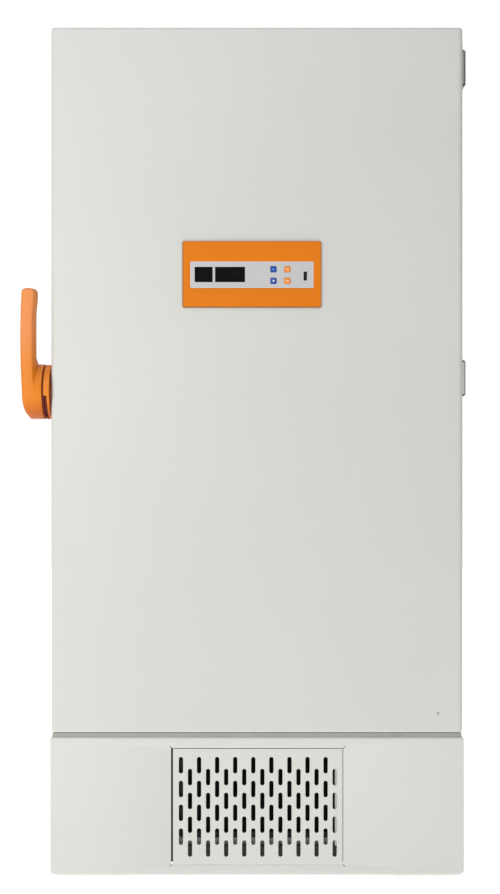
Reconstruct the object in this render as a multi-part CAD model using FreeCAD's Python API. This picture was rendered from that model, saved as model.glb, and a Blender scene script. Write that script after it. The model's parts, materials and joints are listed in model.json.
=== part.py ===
import FreeCAD, Part
import math
import os

V = FreeCAD.Vector

# Upright ultra-low-temperature laboratory freezer with one tall outer door,
# two inner doors, a lever latch, a door-mounted control panel and a machine
# compartment behind a hinged grille.
# Lengths are millimetres. X points right as seen from the front, Y to the back,
# Z up. The pieces are built about the cabinet's front face (Y = 0) on the floor
# (Z = 0), and moved at the end so that the origin is under the middle of the box.

# Clearances
TOUCH = 0.3            # between pieces that bear on each other without a fit
RUN = 0.05             # radial running clearance of shafts and pins
LOOSE = 0.6            # radial clearance of a bolt, stem or tube in its hole

# Cabinet shell
WIDTH = 950.0
HEIGHT = 1955.0
DEPTH = 850.0
FLOOR_GAP = 10.0
BASE_TOP = 325.0
SHEET = 1.2
FLANGE = 25.0
WALL_INSULATION = 130.0
LINER_SHEET = 1.0
LINER_CORNER = 25.0
BREAKER = 4.0

# Outer door
DOOR_INSET = 2.0
DOOR_THICK = 92.0
SEAL_GAP = 14.0
DOOR_FOOT_GAP = 11.0
DOOR_EDGE_ROUND = 13.0
DOOR_END_ROUND = 6.0
DOOR_INNER_SHEET = 2.0
DOOR_PLUG_INSET = 14.0
DOOR_PLUG_RISE = 8.0
DOOR_PLUG_CORNER = 20.0
GASKET_WIDTH = 26.0
GASKET_INSET = 30.0
GASKET_CORNER = 12.0

# Outer door hinges on the right side
HINGE_AXIS_OUT = 10.5
HINGE_AXIS_BACK = 7.0
HINGE_PIN_R = 5.0
HINGE_BARREL_R = 7.5
HINGE_HEIGHT = 76.0
HINGE_END_KNUCKLE = 24.0
HINGE_KNUCKLE_GAP = 0.5
HINGE_PLATE = 4.0
HINGE_PLATE_DEPTH = 60.0
HINGE_ARM_HALF = 5.0
HINGE_LEAF_GAP = 1.0
HINGE_TOP_DROP = 64.0
HINGE_MIDDLE_Z = 1155.0
COVER_PROUD = 21.0
COVER_HEIGHT = 88.0
COVER_DEPTH = 82.0
COVER_WALL = 2.2
COVER_ROUND = 7.0
COVER_FRONT = 2.0

# Lever handle on the left side
HUB_Z = 1121.0
HUB_FRONT_INSET = 61.0
HUB_RADIUS = 64.0
RING_OFF = 4.0
RING_THICK = 13.0
RING_INNER_R = 49.0
RING_NOTCH = 7.5
RING_NOTCH_DEPTH = 8.0
RING_NOTCH_START = 190.0
RING_NOTCH_END = 262.0
SEAT_REACH = 42.7
SEAT_HALF = 36.6
SEAT_BACK_IN = 3.0
WEB_THICK = 2.0
WEB_LAP = 4.0
WEB_HALF = 14.0
HUB_LENGTH = 53.0
BLADE_WIDTH = 37.0
BLADE_THICK = 32.0
BLADE_TOP = 1358.0
BLADE_ROUND = 12.0
BLADE_EDGE_ROUND = 7.0
BLADE_FACET = 10.0
BLADE_FACET_DEPTH = 16.0
BLADE_ROOT_HEIGHT = 76.0
HUB_ROUND = 14.0
AXLE_R = 10.0
AXLE_LENGTH = 47.0
LOCK_R = 9.0
LOCK_LENGTH = 22.0
LOCK_PROUD = 2.0
KEYHOLE_WIDTH = 2.0
KEYHOLE_HEIGHT = 10.0
HOOK_THICK = 10.0
HOOK_BOSS_R = 24.0
HOOK_ARM = 14.0
HOOK_TIP = 13.0
HOOK_ROUND = 5.0
HOOK_PIN_GAP = 1.0
KEEPER_DROP = 12.0
KEEPER_BACK = 25.0
KEEPER_PIN_R = 5.0
KEEPER_PLATE = 4.0
KEEPER_HALF = 26.0
KEEPER_DEPTH = 42.0
KEEPER_ROUND = 6.0
HOOK_GAP_LOW = -14.0
HOOK_GAP_HIGH = 104.0

# Control panel
PANEL_MIDDLE_X = -12.05
PANEL_WIDTH = 318.1
PANEL_LOW = 1311.0
PANEL_HEIGHT = 152.0
PANEL_PROUD = 6.0
PANEL_ROUND = 3.6
PLATE_LEFT_IN = 18.6
PLATE_RIGHT_IN = 17.9
PLATE_LOW_IN = 45.0
PLATE_HEIGHT = 60.0
PLATE_THICK = 2.0
PLATE_ROUND = 2.5
WINDOW_LOW_IN = 13.0
WINDOW_HEIGHT = 35.0
WINDOW_1_IN = 9.8
WINDOW_1_WIDTH = 41.3
WINDOW_2_IN = 56.6
WINDOW_2_WIDTH = 68.6
WINDOW_THICK = 1.2
WINDOW_SUNK = 0.4
BUTTON = 14.0
BUTTON_ROUND = 3.0
BUTTON_GAP = 0.4
BUTTON_PROUD = 0.7
BUTTON_TRAVEL = 0.5
BUTTON_BACKLASH = 0.1
BUTTON_STEM_R = 3.0
BUTTON_COLUMN_1_RIGHT_IN = 91.3
BUTTON_COLUMN_PITCH = 31.7
BUTTON_ROW_1_IN = 15.9
BUTTON_ROW_PITCH = 26.6
PORT_RIGHT_IN = 18.6
PORT_WIDTH = 7.3
PORT_HEIGHT = 20.0
PORT_DROP = 3.0
PORT_MOUTH_WALL = 1.2
PORT_TONGUE_THICK = 1.4
PORT_TONGUE_IN = 2.0
BOARD_THICK = 1.6
BOARD_BEHIND = 12.0
BOARD_MARGIN = 6.0
POCKET_DEPTH = 24.0
SWITCH_HEIGHT = 5.0
SWITCH_HALF = 4.0
POST_R = 4.0

# Chamber fittings
INNER_DOOR_THICK = 40.0
INNER_DOOR_BACK = 6.0
INNER_DOOR_SIDE_GAP = 4.0
INNER_DOOR_HINGE_IN = 8.0
INNER_DOOR_END_GAP = 9.0
INNER_DOOR_CORNER = 4.0
INNER_GASKET = 5.7
INNER_GASKET_WIDTH = 10.0
INNER_GASKET_INSET = 1.0
INNER_KNUCKLE_R = 5.5
INNER_KNUCKLE = 30.0
INNER_PIN_R = 3.0
INNER_PIN = 20.0
INNER_BRACKET = 4.0
INNER_BRACKET_GAP = 2.0
FRAME_WIDTH = 22.0
FRAME_THICK = 10.0
MULLION_HEIGHT = 30.0
PULL_WIDTH = 30.0
PULL_HEIGHT = 110.0
PULL_DEPTH = 12.0
PULL_IN = 16.0
PILASTER_THICK = 8.0
PILASTER_WIDTH = 20.0
PILASTER_END = 30.0
PILASTER_FRONT = 140.0
PILASTER_REAR = 110.0
CLIP_REACH = 14.0
CLIP_HEIGHT = 12.0
CLIP_SIDE_IN = 2.0
SHELF_SHEET = 1.5
SHELF_LIP = 24.0
SHELF_SIDE_GAP = 2.0
SHELF_BACK_GAP = 14.0
PROBE_R = 5.0
PROBE_LENGTH = 90.0
PROBE_DROP = 110.0
PROBE_CLIP = 12.0
PROBE_CLIP_WALL = 1.5
EVAPORATOR_R = 4.0
EVAPORATOR_LOOPS = 6
EVAPORATOR_END = 60.0
EVAPORATOR_FRONT = 60.0
PORT_TUBE_R = 16.0
PORT_TUBE_WALL = 3.0
PORT_TUBE_SIDE_IN = 92.8
PORT_TUBE_DROP = 180.0
PLUG_HEAD = 10.0
PLUG_HEAD_LAP = 4.0
PLUG_LENGTH = 60.0

# Base and machine compartment
CASTER_HEIGHT = 70.0
PAN_HEIGHT = 25.0
PAN_SHEET = 3.0
PAN_FRONT_GAP = 17.0
PAN_RIB_WIDTH = 30.0
PAN_RIB_FROM_CAN = 56.7
WHEEL_R = 25.0
WHEEL_WIDTH = 22.0
WHEEL_AXLE_R = 4.0
WHEEL_ROUND = 3.0
FORK_TRAIL = 18.0
FORK_CHEEK = 4.0
FORK_GAP = 1.5
FORK_CROWN = 5.0
FORK_CROWN_R = 21.0
CASTER_PLATE = 5.0
CASTER_PLATE_HALF = 32.0
CASTER_PLATE_ROUND = 6.0
CHEEK_FRONT = 10.0
CHEEK_REAR = 11.25
CHEEK_UNDER = 8.0
CASTER_SIDE_IN = 70.0
CASTER_FRONT_IN = 75.0
CASTER_REAR_IN = 75.0
FOOT_BESIDE_CASTER = 75.0
FOOT_FRONT_IN = 36.0
FOOT_PAD_R = 22.0
FOOT_PAD_HEIGHT = 12.0
FOOT_NECK_R = 13.2
FOOT_NUT_R = 12.0
FOOT_ROD_R = 6.0
FOOT_TRAVEL = 20.0
PANEL_CORNER = 11.0
HATCH_MIDDLE_X = 1.8
HATCH_WIDTH = 389.0
HATCH_LOW = 35.0
HATCH_HEIGHT = 264.5
HATCH_GAP_LEFT = 3.0
HATCH_GAP_RIGHT = 1.6
HATCH_GAP_TOP = 1.5
HATCH_GAP_LOW = 1.0
HATCH_FLANGE = 12.0
HATCH_AXIS_IN = 8.0
HATCH_AXIS_BACK = 4.0
HATCH_PIN_R = 2.0
HATCH_PIN = 12.0
HATCH_TAB = 14.0
SLOT_COLUMNS = 18
SLOT_ROWS = 4
SLOT_FIRST_IN = 18.4
SLOT_PITCH = 20.73
SLOT_WIDTH = 9.8
SLOT_HEIGHT = 38.0
SLOT_STEP = 54.6
SLOT_TOP_IN = 18.6
FILTER_THICK = 10.0
FILTER_HALF = 178.0
FILTER_HEIGHT = 195.0
FILTER_RIM = 9.0
FILTER_MESH = 3.0
CONDENSER_HALF = 160.0
CONDENSER_HEADER_R = 12.0
CONDENSER_TUBES = 15
CONDENSER_TUBE_THICK = 3.0
CONDENSER_TUBE_DEPTH = 19.2
CONDENSER_TOP = 300.0
SHROUD_HALF = 178.0
SHROUD_SHEET = 2.0
SHROUD_DEPTH = 34.0
SHROUD_COLLAR = 30.0
FAN_Z = 196.0
FAN_R = 86.0
FAN_TIP_GAP = 4.0
FAN_HUB_R = 28.0
FAN_DEPTH = 22.0
FAN_BLADES = 5
FAN_BLADE_THICK = 2.5
FAN_BLADE_WIDTH = 52.0
FAN_BLADE_ROOT = 22.4
FAN_PITCH = 28.0
MOTOR_R = 40.0
MOTOR_LENGTH = 62.0
MOTOR_SHAFT_R = 4.0
MOTOR_ARM = 10.0
MOTOR_ARM_THICK = 3.0
MOTOR_ARMS = 3
COMPRESSOR_R = 88.0
COMPRESSOR_HEIGHT = 205.0
COMPRESSOR_DOME = 52.0
COMPRESSOR_SIDE_IN = 260.0
COMPRESSOR_Y = 520.0
COMPRESSOR_FOOT = 105.0
COMPRESSOR_FOOT_DEPTH = 84.0
COMPRESSOR_FOOT_ROUND = 12.0
COMPRESSOR_FOOT_SHEET = 4.0
GROMMET_R = 11.0
GROMMET = 12.0
GROMMET_IN = 3.0
EXCHANGER_SIDE = 120.0
EXCHANGER_HEIGHT = 200.0
EXCHANGER_SIDE_IN = 175.0
EXCHANGER_Y = 240.0
EXCHANGER_ROUND = 18.0
SEPARATOR_R = 38.0
SEPARATOR_HEIGHT = 190.0
SEPARATOR_ROUND = 17.0
SEPARATOR_FOOT = 6.0
SEPARATOR_FOOT_R = 30.0
SEPARATOR_X = 0.0
SEPARATOR_Y = 520.0
PIPE_R = 5.0
PIPE_BEND = 24.0
PIPE_LANE_OUT = 24.0
PIPE_BEHIND = 40.0
PIPE_HEAD_BACK = 14.0
PIPE_LOW = 30.0
PIPE_INLET_UP = 40.0
PIPE_SUCTION_UP = 20.0
DRIER_R = 16.0
DRIER_LENGTH = 110.0
DRIER_ROUND = 9.6
BOX_WIDTH = 150.0
BOX_DEPTH = 230.0
BOX_HEIGHT = 205.0
BOX_SIDE_IN = 145.0
BOX_Y = 200.0
BOX_COVER = 3.0
BOX_CORNER = 4.0
BOX_LID_IN = 8.0
COVER_OVERLAP = 18.0
COVER_LOUVRE_COLUMNS = 9
COVER_LOUVRE_ROWS = 3
COVER_LOUVRE_WIDTH = 60.0
COVER_LOUVRE_HEIGHT = 8.0
COVER_LOUVRE_ROUND = 3.6
COVER_LOUVRE_PITCH_X = 84.0
COVER_LOUVRE_PITCH_Z = 24.0
COVER_LOUVRE_LOW = 190.0
INLET_WIDTH = 48.0
INLET_HEIGHT = 30.0
INLET_DEPTH = 28.0
INLET_Z = 150.0
INLET_WALL = 3.0
INLET_RIM = 5.0
INLET_PIN_WIDTH = 2.4
INLET_PIN_HEIGHT = 8.0

# Worked-out places
HALF = WIDTH / 2
DOOR_X = HALF - DOOR_INSET
DOOR_BACK = -SEAL_GAP
DOOR_FRONT = DOOR_BACK - DOOR_THICK
DOOR_LOW = BASE_TOP + DOOR_FOOT_GAP
SHELL_X = HALF - SHEET
SHELL_BACK = DEPTH - SHEET
SHELL_LOW = BASE_TOP + SHEET
SHELL_TOP = HEIGHT - SHEET
CAVITY_X = SHELL_X - WALL_INSULATION
CAVITY_BACK = SHELL_BACK - WALL_INSULATION
CAVITY_LOW = SHELL_LOW + WALL_INSULATION
CAVITY_TOP = SHELL_TOP - WALL_INSULATION
ROOM_X = CAVITY_X - LINER_SHEET
ROOM_BACK = CAVITY_BACK - LINER_SHEET
ROOM_LOW = CAVITY_LOW + LINER_SHEET
ROOM_TOP = CAVITY_TOP - LINER_SHEET
ROOM_MIDDLE = (ROOM_LOW + ROOM_TOP) / 2
PORT_TUBE_X = ROOM_X - PORT_TUBE_SIDE_IN
HINGE_X = HALF + HINGE_AXIS_OUT
HINGE_Y = -HINGE_AXIS_BACK
HINGE_HEIGHTS = [HEIGHT - HINGE_TOP_DROP, HINGE_MIDDLE_Z]
HUB_Y = DOOR_FRONT + HUB_FRONT_INSET
RING_RIGHT = -DOOR_X - RING_OFF
RING_LEFT = RING_RIGHT - RING_THICK
HUB_RIGHT = RING_LEFT - HINGE_KNUCKLE_GAP
HUB_LEFT = HUB_RIGHT - HUB_LENGTH
PANEL_LEFT = PANEL_MIDDLE_X - PANEL_WIDTH / 2
PLATE_LEFT = PANEL_LEFT + PLATE_LEFT_IN
PLATE_RIGHT = PANEL_LEFT + PANEL_WIDTH - PLATE_RIGHT_IN
PLATE_LOW = PANEL_LOW + PLATE_LOW_IN
PLATE_TOP = PLATE_LOW + PLATE_HEIGHT
PANEL_FRONT = DOOR_FRONT - PANEL_PROUD
PLATE_BACK = PANEL_FRONT + PLATE_THICK
INNER_AXIS_X = ROOM_X - INNER_DOOR_HINGE_IN
INNER_FRONT = INNER_DOOR_BACK
INNER_REAR = INNER_FRONT + INNER_DOOR_THICK
FRAME_FRONT = INNER_REAR + INNER_GASKET + TOUCH
FRAME_REAR = FRAME_FRONT + FRAME_THICK
PAN_LOW = CASTER_HEIGHT
PAN_TOP = CASTER_HEIGHT + PAN_HEIGHT
PAN_FLOOR = PAN_LOW + PAN_SHEET
PAN_FRONT = DOOR_FRONT + PAN_FRONT_GAP
PAN_REAR = SHELL_BACK - TOUCH
PAN_X = SHELL_X - TOUCH
CASTER_X = HALF - CASTER_SIDE_IN
FOOT_X = CASTER_X - FOOT_BESIDE_CASTER
FOOT_ROD_TOP = PAN_TOP + FOOT_TRAVEL
CASTER_Y_FRONT = DOOR_FRONT + CASTER_FRONT_IN
CASTER_Y_REAR = DEPTH - CASTER_REAR_IN
HATCH_LEFT = HATCH_MIDDLE_X - HATCH_WIDTH / 2
HATCH_RIGHT = HATCH_LEFT + HATCH_WIDTH
HATCH_TOP = HATCH_LOW + HATCH_HEIGHT
HATCH_AXIS_X = HATCH_RIGHT - HATCH_AXIS_IN
HATCH_AXIS_Y = DOOR_FRONT + HATCH_AXIS_BACK
FILTER_FRONT = PAN_FRONT + PAN_SHEET + TOUCH
CONDENSER_Y = FILTER_FRONT + FILTER_THICK + TOUCH + CONDENSER_HEADER_R
SHROUD_FRONT = CONDENSER_Y + CONDENSER_HEADER_R + TOUCH
SHROUD_BACK = SHROUD_FRONT + SHROUD_DEPTH
COVER_LOW = PAN_TOP
COVER_TOP = BASE_TOP + COVER_OVERLAP
BOX_X = BOX_SIDE_IN - HALF
COMPRESSOR_X = HALF - COMPRESSOR_SIDE_IN
EXCHANGER_X = HALF - EXCHANGER_SIDE_IN
INLET_X = BOX_X


def box(x0, x1, y0, y1, z0, z1):
    """Box between two corners, given as ranges."""
    return Part.makeBox(x1 - x0, y1 - y0, z1 - z0, V(x0, y0, z0))


def rod(radius, length, start, axis):
    """Cylinder from a start point along an axis."""
    return Part.makeCylinder(radius, length, V(*start), V(*axis))


def joined(first, *others):
    """Pieces welded into one solid, with the seams on flat faces removed."""
    return first.fuse(list(others)).removeSplitter()


def edges_along(shape, axis, where=lambda edge: True):
    """Straight edges parallel to axis 0, 1 or 2 that pass a test."""
    found = []
    for edge in shape.Edges:
        if len(edge.Vertexes) != 2:
            continue
        run = edge.Vertexes[1].Point - edge.Vertexes[0].Point
        if run.Length > 0 and abs(run[axis]) > 0.999 * run.Length and where(edge):
            found.append(edge)
    return found


def rounded(shape, radius, axis, where=lambda edge: True):
    """Shape with its edges parallel to an axis rounded."""
    return shape.makeFillet(radius, edges_along(shape, axis, where))


def rounded_box(x0, x1, y0, y1, z0, z1, radius, axis):
    """Box whose four edges parallel to an axis are rounded."""
    return rounded(box(x0, x1, y0, y1, z0, z1), radius, axis)


def bent_path(points, bend):
    """Wire through the points, straight between them and rounded at each turn."""
    corners = [V(*point) for point in points]
    edges = []
    start = corners[0]
    for index in range(1, len(corners) - 1):
        corner = corners[index]
        before = (corners[index - 1] - corner).normalize()
        after = (corners[index + 1] - corner).normalize()
        half_angle = before.getAngle(after) / 2
        reach = bend / math.tan(half_angle)
        middle_out = bend / math.sin(half_angle) - bend
        entry = corner + before * reach
        leave = corner + after * reach
        middle = corner + (before + after).normalize() * middle_out
        edges.append(Part.makeLine(start, entry))
        edges.append(Part.Arc(entry, middle, leave).toShape())
        start = leave
    edges.append(Part.makeLine(start, corners[-1]))
    return Part.Wire(edges)


def tube_along(points, radius, bend):
    """Round bar that follows a bent path."""
    path = bent_path(points, bend)
    along = V(*points[1]) - V(*points[0])
    section = Part.Wire([Part.makeCircle(radius, V(*points[0]), along)])
    return path.makePipeShell([section], True, False)


def slot_cutter(x, z_top, y0, y1):
    """Upright slot with round ends, as a cutting solid."""
    radius = SLOT_WIDTH / 2
    length = y1 - y0
    top = z_top - radius
    low = z_top - SLOT_HEIGHT + radius
    middle = box(x - radius, x + radius, y0, y1, low, top)
    ends = [rod(radius, length, (x, y0, z), (0, 1, 0)) for z in (low, top)]
    return joined(middle, *ends)


def side_panel(side):
    """Outer side sheet with a front return and a rear return."""
    def across(inner, outer):
        return sorted((side * inner, side * outer))
    web = box(*across(SHELL_X, HALF), 0, DEPTH, FLOOR_GAP, HEIGHT)
    front = box(*across(HALF - FLANGE, HALF), 0, SHEET, BASE_TOP, HEIGHT)
    rear = box(*across(HALF - FLANGE, HALF), SHELL_BACK, DEPTH, FLOOR_GAP, HEIGHT)
    return joined(web, front, rear)


def top_panel():
    """Flat top sheet with a down-turned front lip between the side panels."""
    sheet = box(-SHELL_X, SHELL_X, SHEET, SHELL_BACK, SHELL_TOP, HEIGHT)
    lip_x = HALF - FLANGE
    lip = box(-lip_x, lip_x, 0, SHEET, HEIGHT - FLANGE, HEIGHT)
    return joined(sheet, lip)


def access_hole(y0, y1, radius):
    """Cutting rod for the access port."""
    return rod(radius, y1 - y0, (PORT_TUBE_X, y0, ROOM_TOP - PORT_TUBE_DROP), (0, 1, 0))


def rear_panel():
    """Rear sheet behind the insulated box."""
    sheet = box(-HALF + FLANGE, HALF - FLANGE, SHELL_BACK, DEPTH, BASE_TOP, HEIGHT)
    return sheet.cut(access_hole(SHELL_BACK - 1, DEPTH + 1, PORT_TUBE_R + LOOSE))


def rear_service_cover():
    """Louvred cover over the machine compartment, with the inlet cut-out."""
    reach = HALF - FLANGE / 2
    sheet = box(-reach, reach, DEPTH, DEPTH + SHEET, COVER_LOW, COVER_TOP)
    cutters = []
    first = -COVER_LOUVRE_PITCH_X * (COVER_LOUVRE_COLUMNS - 1) / 2
    for column in range(COVER_LOUVRE_COLUMNS):
        for row in range(COVER_LOUVRE_ROWS):
            x = first + column * COVER_LOUVRE_PITCH_X
            z = COVER_LOUVRE_LOW + row * COVER_LOUVRE_PITCH_Z
            cutters.append(rounded_box(
                x - COVER_LOUVRE_WIDTH / 2, x + COVER_LOUVRE_WIDTH / 2,
                DEPTH - 1, DEPTH + SHEET + 1,
                z, z + COVER_LOUVRE_HEIGHT, COVER_LOUVRE_ROUND, 1))
    cutters.append(inlet_outline(DEPTH - 1, DEPTH + SHEET + 1, TOUCH))
    return sheet.cut(cutters)


def inlet_outline(y0, y1, grow):
    """Block of the power inlet's body, grown by a clearance."""
    return box(INLET_X - INLET_WIDTH / 2 - grow, INLET_X + INLET_WIDTH / 2 + grow, y0, y1,
               INLET_Z - INLET_HEIGHT / 2 - grow, INLET_Z + INLET_HEIGHT / 2 + grow)


def power_inlet():
    """Panel socket: a rim outside the cover, a recess and three contact pins."""
    body = inlet_outline(DEPTH - INLET_DEPTH, DEPTH + SHEET + INLET_WALL, 0)
    rim = inlet_outline(DEPTH + SHEET, DEPTH + SHEET + INLET_WALL, INLET_RIM)
    recess = inlet_outline(DEPTH - INLET_DEPTH + INLET_WALL,
                           DEPTH + SHEET + INLET_WALL + 1, -INLET_WALL)
    shell = joined(body, rim).cut(recess)
    pin_y = DEPTH - INLET_DEPTH + INLET_WALL
    pins = []
    for offset in (-1, 0, 1):
        x = INLET_X + offset * INLET_WIDTH / 4
        pins.append(box(x - INLET_PIN_WIDTH / 2, x + INLET_PIN_WIDTH / 2, pin_y,
                        DEPTH - INLET_WALL, INLET_Z - INLET_PIN_HEIGHT / 2,
                        INLET_Z + INLET_PIN_HEIGHT / 2))
    return joined(shell, *pins)


def machine_deck():
    """Sheet under the insulated box, the roof of the machine compartment."""
    return box(-SHELL_X, SHELL_X, SHEET, SHELL_BACK, BASE_TOP, SHELL_LOW)


def evaporator_heights():
    """Height of each turn of the tube round the liner."""
    low = ROOM_LOW + EVAPORATOR_END
    step = (ROOM_TOP - ROOM_LOW - 2 * EVAPORATOR_END) / (EVAPORATOR_LOOPS - 1)
    return [low + step * index for index in range(EVAPORATOR_LOOPS)]


def insulation_slabs():
    """Foam as five slabs that meet face to face, grooved for the cooling tube."""
    front = BREAKER
    slabs = [
        box(-SHELL_X, -CAVITY_X, front, CAVITY_BACK, SHELL_LOW, SHELL_TOP),
        box(CAVITY_X, SHELL_X, front, CAVITY_BACK, SHELL_LOW, SHELL_TOP),
        box(-SHELL_X, SHELL_X, CAVITY_BACK, SHELL_BACK, SHELL_LOW, SHELL_TOP),
        box(-CAVITY_X, CAVITY_X, front, CAVITY_BACK, CAVITY_TOP, SHELL_TOP),
        box(-CAVITY_X, CAVITY_X, front, CAVITY_BACK, SHELL_LOW, CAVITY_LOW),
    ]
    groove = 2 * EVAPORATOR_R + 2 * TOUCH
    y0 = EVAPORATOR_FRONT - groove
    heights = evaporator_heights()
    cutters = [access_hole(CAVITY_BACK - 1, SHELL_BACK + 1, PORT_TUBE_R + TOUCH)]
    for z in heights:
        cutters.append(box(-CAVITY_X - groove, CAVITY_X + groove, y0, CAVITY_BACK + groove,
                           z - groove / 2, z + groove / 2))
    for index in range(EVAPORATOR_LOOPS - 1):
        side = 1 if index % 2 == 0 else -1
        x0, x1 = sorted((side * CAVITY_X, side * (CAVITY_X + groove)))
        cutters.append(box(x0, x1, y0, EVAPORATOR_FRONT + LINER_CORNER + groove,
                           heights[index] - groove / 2, heights[index + 1] + groove / 2))
    return Part.makeCompound([slab.cut(cutters) for slab in slabs])


def evaporator_coil():
    """One tube that runs round the liner's sides and back, turn above turn."""
    offset = EVAPORATOR_R + TOUCH
    x = CAVITY_X + offset
    back = CAVITY_BACK + offset
    bend = LINER_CORNER + offset
    points = []
    for index, z in enumerate(evaporator_heights()):
        turn = [(-x, EVAPORATOR_FRONT, z), (-x, back, z), (x, back, z), (x, EVAPORATOR_FRONT, z)]
        points += turn if index % 2 == 0 else turn[::-1]
    return tube_along(points, EVAPORATOR_R, bend)


def inner_liner():
    """Bent sheet box that lines the chamber, open at the front."""
    def hull(x, back, low, top, corner):
        body = box(-x, x, BREAKER, back, low, top)
        return rounded(body, corner, 2, lambda edge: edge.BoundBox.YMin > back - 0.5)
    outer = hull(CAVITY_X, CAVITY_BACK, CAVITY_LOW, CAVITY_TOP, LINER_CORNER)
    inner = hull(ROOM_X, ROOM_BACK, ROOM_LOW, ROOM_TOP, LINER_CORNER - LINER_SHEET)
    mouth = box(-ROOM_X, ROOM_X, BREAKER - 1, BREAKER + 1, ROOM_LOW, ROOM_TOP)
    port = access_hole(ROOM_BACK - 1, CAVITY_BACK + 1, PORT_TUBE_R + TOUCH)
    return outer.cut([inner, mouth, port])


def breaker_strips():
    """Four plastic strips that bridge the liner and the outer shell."""
    outer = HALF - FLANGE
    low = SHELL_LOW
    top = HEIGHT - FLANGE
    strips = [
        box(-outer, -ROOM_X, 0, BREAKER, low, top),
        box(ROOM_X, outer, 0, BREAKER, low, top),
        box(-ROOM_X, ROOM_X, 0, BREAKER, ROOM_TOP, top),
        box(-ROOM_X, ROOM_X, 0, BREAKER, low, ROOM_LOW),
    ]
    return Part.makeCompound(strips)


def inner_door_spans():
    """Lowest and highest Z of the lower and the upper inner door."""
    return [(ROOM_LOW + INNER_DOOR_END_GAP, ROOM_MIDDLE - INNER_DOOR_END_GAP),
            (ROOM_MIDDLE + INNER_DOOR_END_GAP, ROOM_TOP - INNER_DOOR_END_GAP)]


def inner_door_frame():
    """Stop strips round the chamber mouth, the middle rail and the hinge studs."""
    inner = ROOM_X - FRAME_WIDTH
    y0 = FRAME_FRONT
    y1 = FRAME_REAR
    rail = MULLION_HEIGHT / 2
    left = box(-ROOM_X, -inner, y0, y1, ROOM_LOW, ROOM_TOP)
    right = box(inner, ROOM_X, y0, y1, ROOM_LOW, ROOM_TOP)
    strips = [left,
              box(-inner, inner, y0, y1, ROOM_TOP - FRAME_WIDTH, ROOM_TOP),
              box(-inner, inner, y0, y1, ROOM_LOW, ROOM_LOW + FRAME_WIDTH),
              box(-inner, inner, y0, y1, ROOM_MIDDLE - rail, ROOM_MIDDLE + rail)]
    studs = []
    for low, top in inner_door_spans():
        for end, way in ((low, 1), (top, -1)):
            near = end - way * INNER_BRACKET_GAP
            z0, z1 = sorted((near, near - way * INNER_BRACKET))
            x0 = INNER_AXIS_X - INNER_KNUCKLE_R
            studs.append(box(x0, ROOM_X, INNER_FRONT - INNER_KNUCKLE_R, y0, z0, z1))
            studs.append(rod(INNER_PIN_R, INNER_PIN + INNER_BRACKET_GAP,
                             (INNER_AXIS_X, INNER_FRONT, near), (0, 0, way)))
    return Part.makeCompound([joined(right, *studs)] + strips)


def inner_door(span):
    """Foam-filled inner door with its knuckles, finger pull and seal."""
    low, top = span
    left = -ROOM_X + INNER_DOOR_SIDE_GAP
    slab = rounded_box(left, INNER_AXIS_X, INNER_FRONT, INNER_REAR, low, top,
                       INNER_DOOR_CORNER, 1)
    knuckles = []
    bores = []
    for end, way in ((low, 1), (top, -1)):
        start = (INNER_AXIS_X, INNER_FRONT, end)
        knuckles.append(rod(INNER_KNUCKLE_R, INNER_KNUCKLE, start, (0, 0, way)))
        bores.append(rod(INNER_PIN_R + RUN, INNER_PIN + 1, start, (0, 0, way)))
    middle = (low + top) / 2
    pull = box(left + PULL_IN, left + PULL_IN + PULL_WIDTH, INNER_FRONT - 1,
               INNER_FRONT + PULL_DEPTH, middle - PULL_HEIGHT / 2, middle + PULL_HEIGHT / 2)
    body = joined(slab, *knuckles).cut(bores + [pull])
    x0 = left + INNER_GASKET_INSET
    x1 = INNER_AXIS_X - INNER_GASKET_INSET
    z0 = low + INNER_GASKET_INSET
    z1 = top - INNER_GASKET_INSET
    ring = box(x0, x1, INNER_REAR, INNER_REAR + INNER_GASKET, z0, z1)
    width = INNER_GASKET_WIDTH
    hole = box(x0 + width, x1 - width, INNER_REAR - 1, INNER_REAR + INNER_GASKET + 1,
               z0 + width, z1 - width)
    return Part.makeCompound([body, ring.cut(hole)])


def shelf_heights():
    """Underside height of the three shelves, the middle one behind the rail."""
    quarter = (ROOM_TOP - ROOM_LOW) / 4
    return [ROOM_MIDDLE - quarter, ROOM_MIDDLE, ROOM_MIDDLE + quarter]


def pilaster_places():
    """Front edge of each pair of pilasters."""
    return [PILASTER_FRONT, ROOM_BACK - PILASTER_REAR - PILASTER_WIDTH]


def shelf_supports():
    """Four upright strips on the liner and three clips on each."""
    solids = []
    for side in (-1, 1):
        for y in pilaster_places():
            inner = ROOM_X - PILASTER_THICK
            x0, x1 = sorted((side * inner, side * ROOM_X))
            solids.append(box(x0, x1, y, y + PILASTER_WIDTH,
                              ROOM_LOW + PILASTER_END, ROOM_TOP - PILASTER_END))
            x0, x1 = sorted((side * (inner - CLIP_REACH), side * inner))
            for z in shelf_heights():
                solids.append(box(x0, x1, y + CLIP_SIDE_IN, y + PILASTER_WIDTH - CLIP_SIDE_IN,
                                  z - CLIP_HEIGHT, z))
    return Part.makeCompound(solids)


def shelves():
    """Three sheet shelves with a lip turned down at the front and the back."""
    x = ROOM_X - PILASTER_THICK - SHELF_SIDE_GAP
    y0 = FRAME_REAR + TOUCH
    y1 = ROOM_BACK - SHELF_BACK_GAP
    solids = []
    for z in shelf_heights():
        plate = box(-x, x, y0, y1, z, z + SHELF_SHEET)
        front = box(-x, x, y0, y0 + SHELF_SHEET, z - SHELF_LIP, z)
        rear = box(-x, x, y1 - SHELF_SHEET, y1, z - SHELF_LIP, z)
        solids.append(joined(plate, front, rear))
    return Part.makeCompound(solids)


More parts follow.
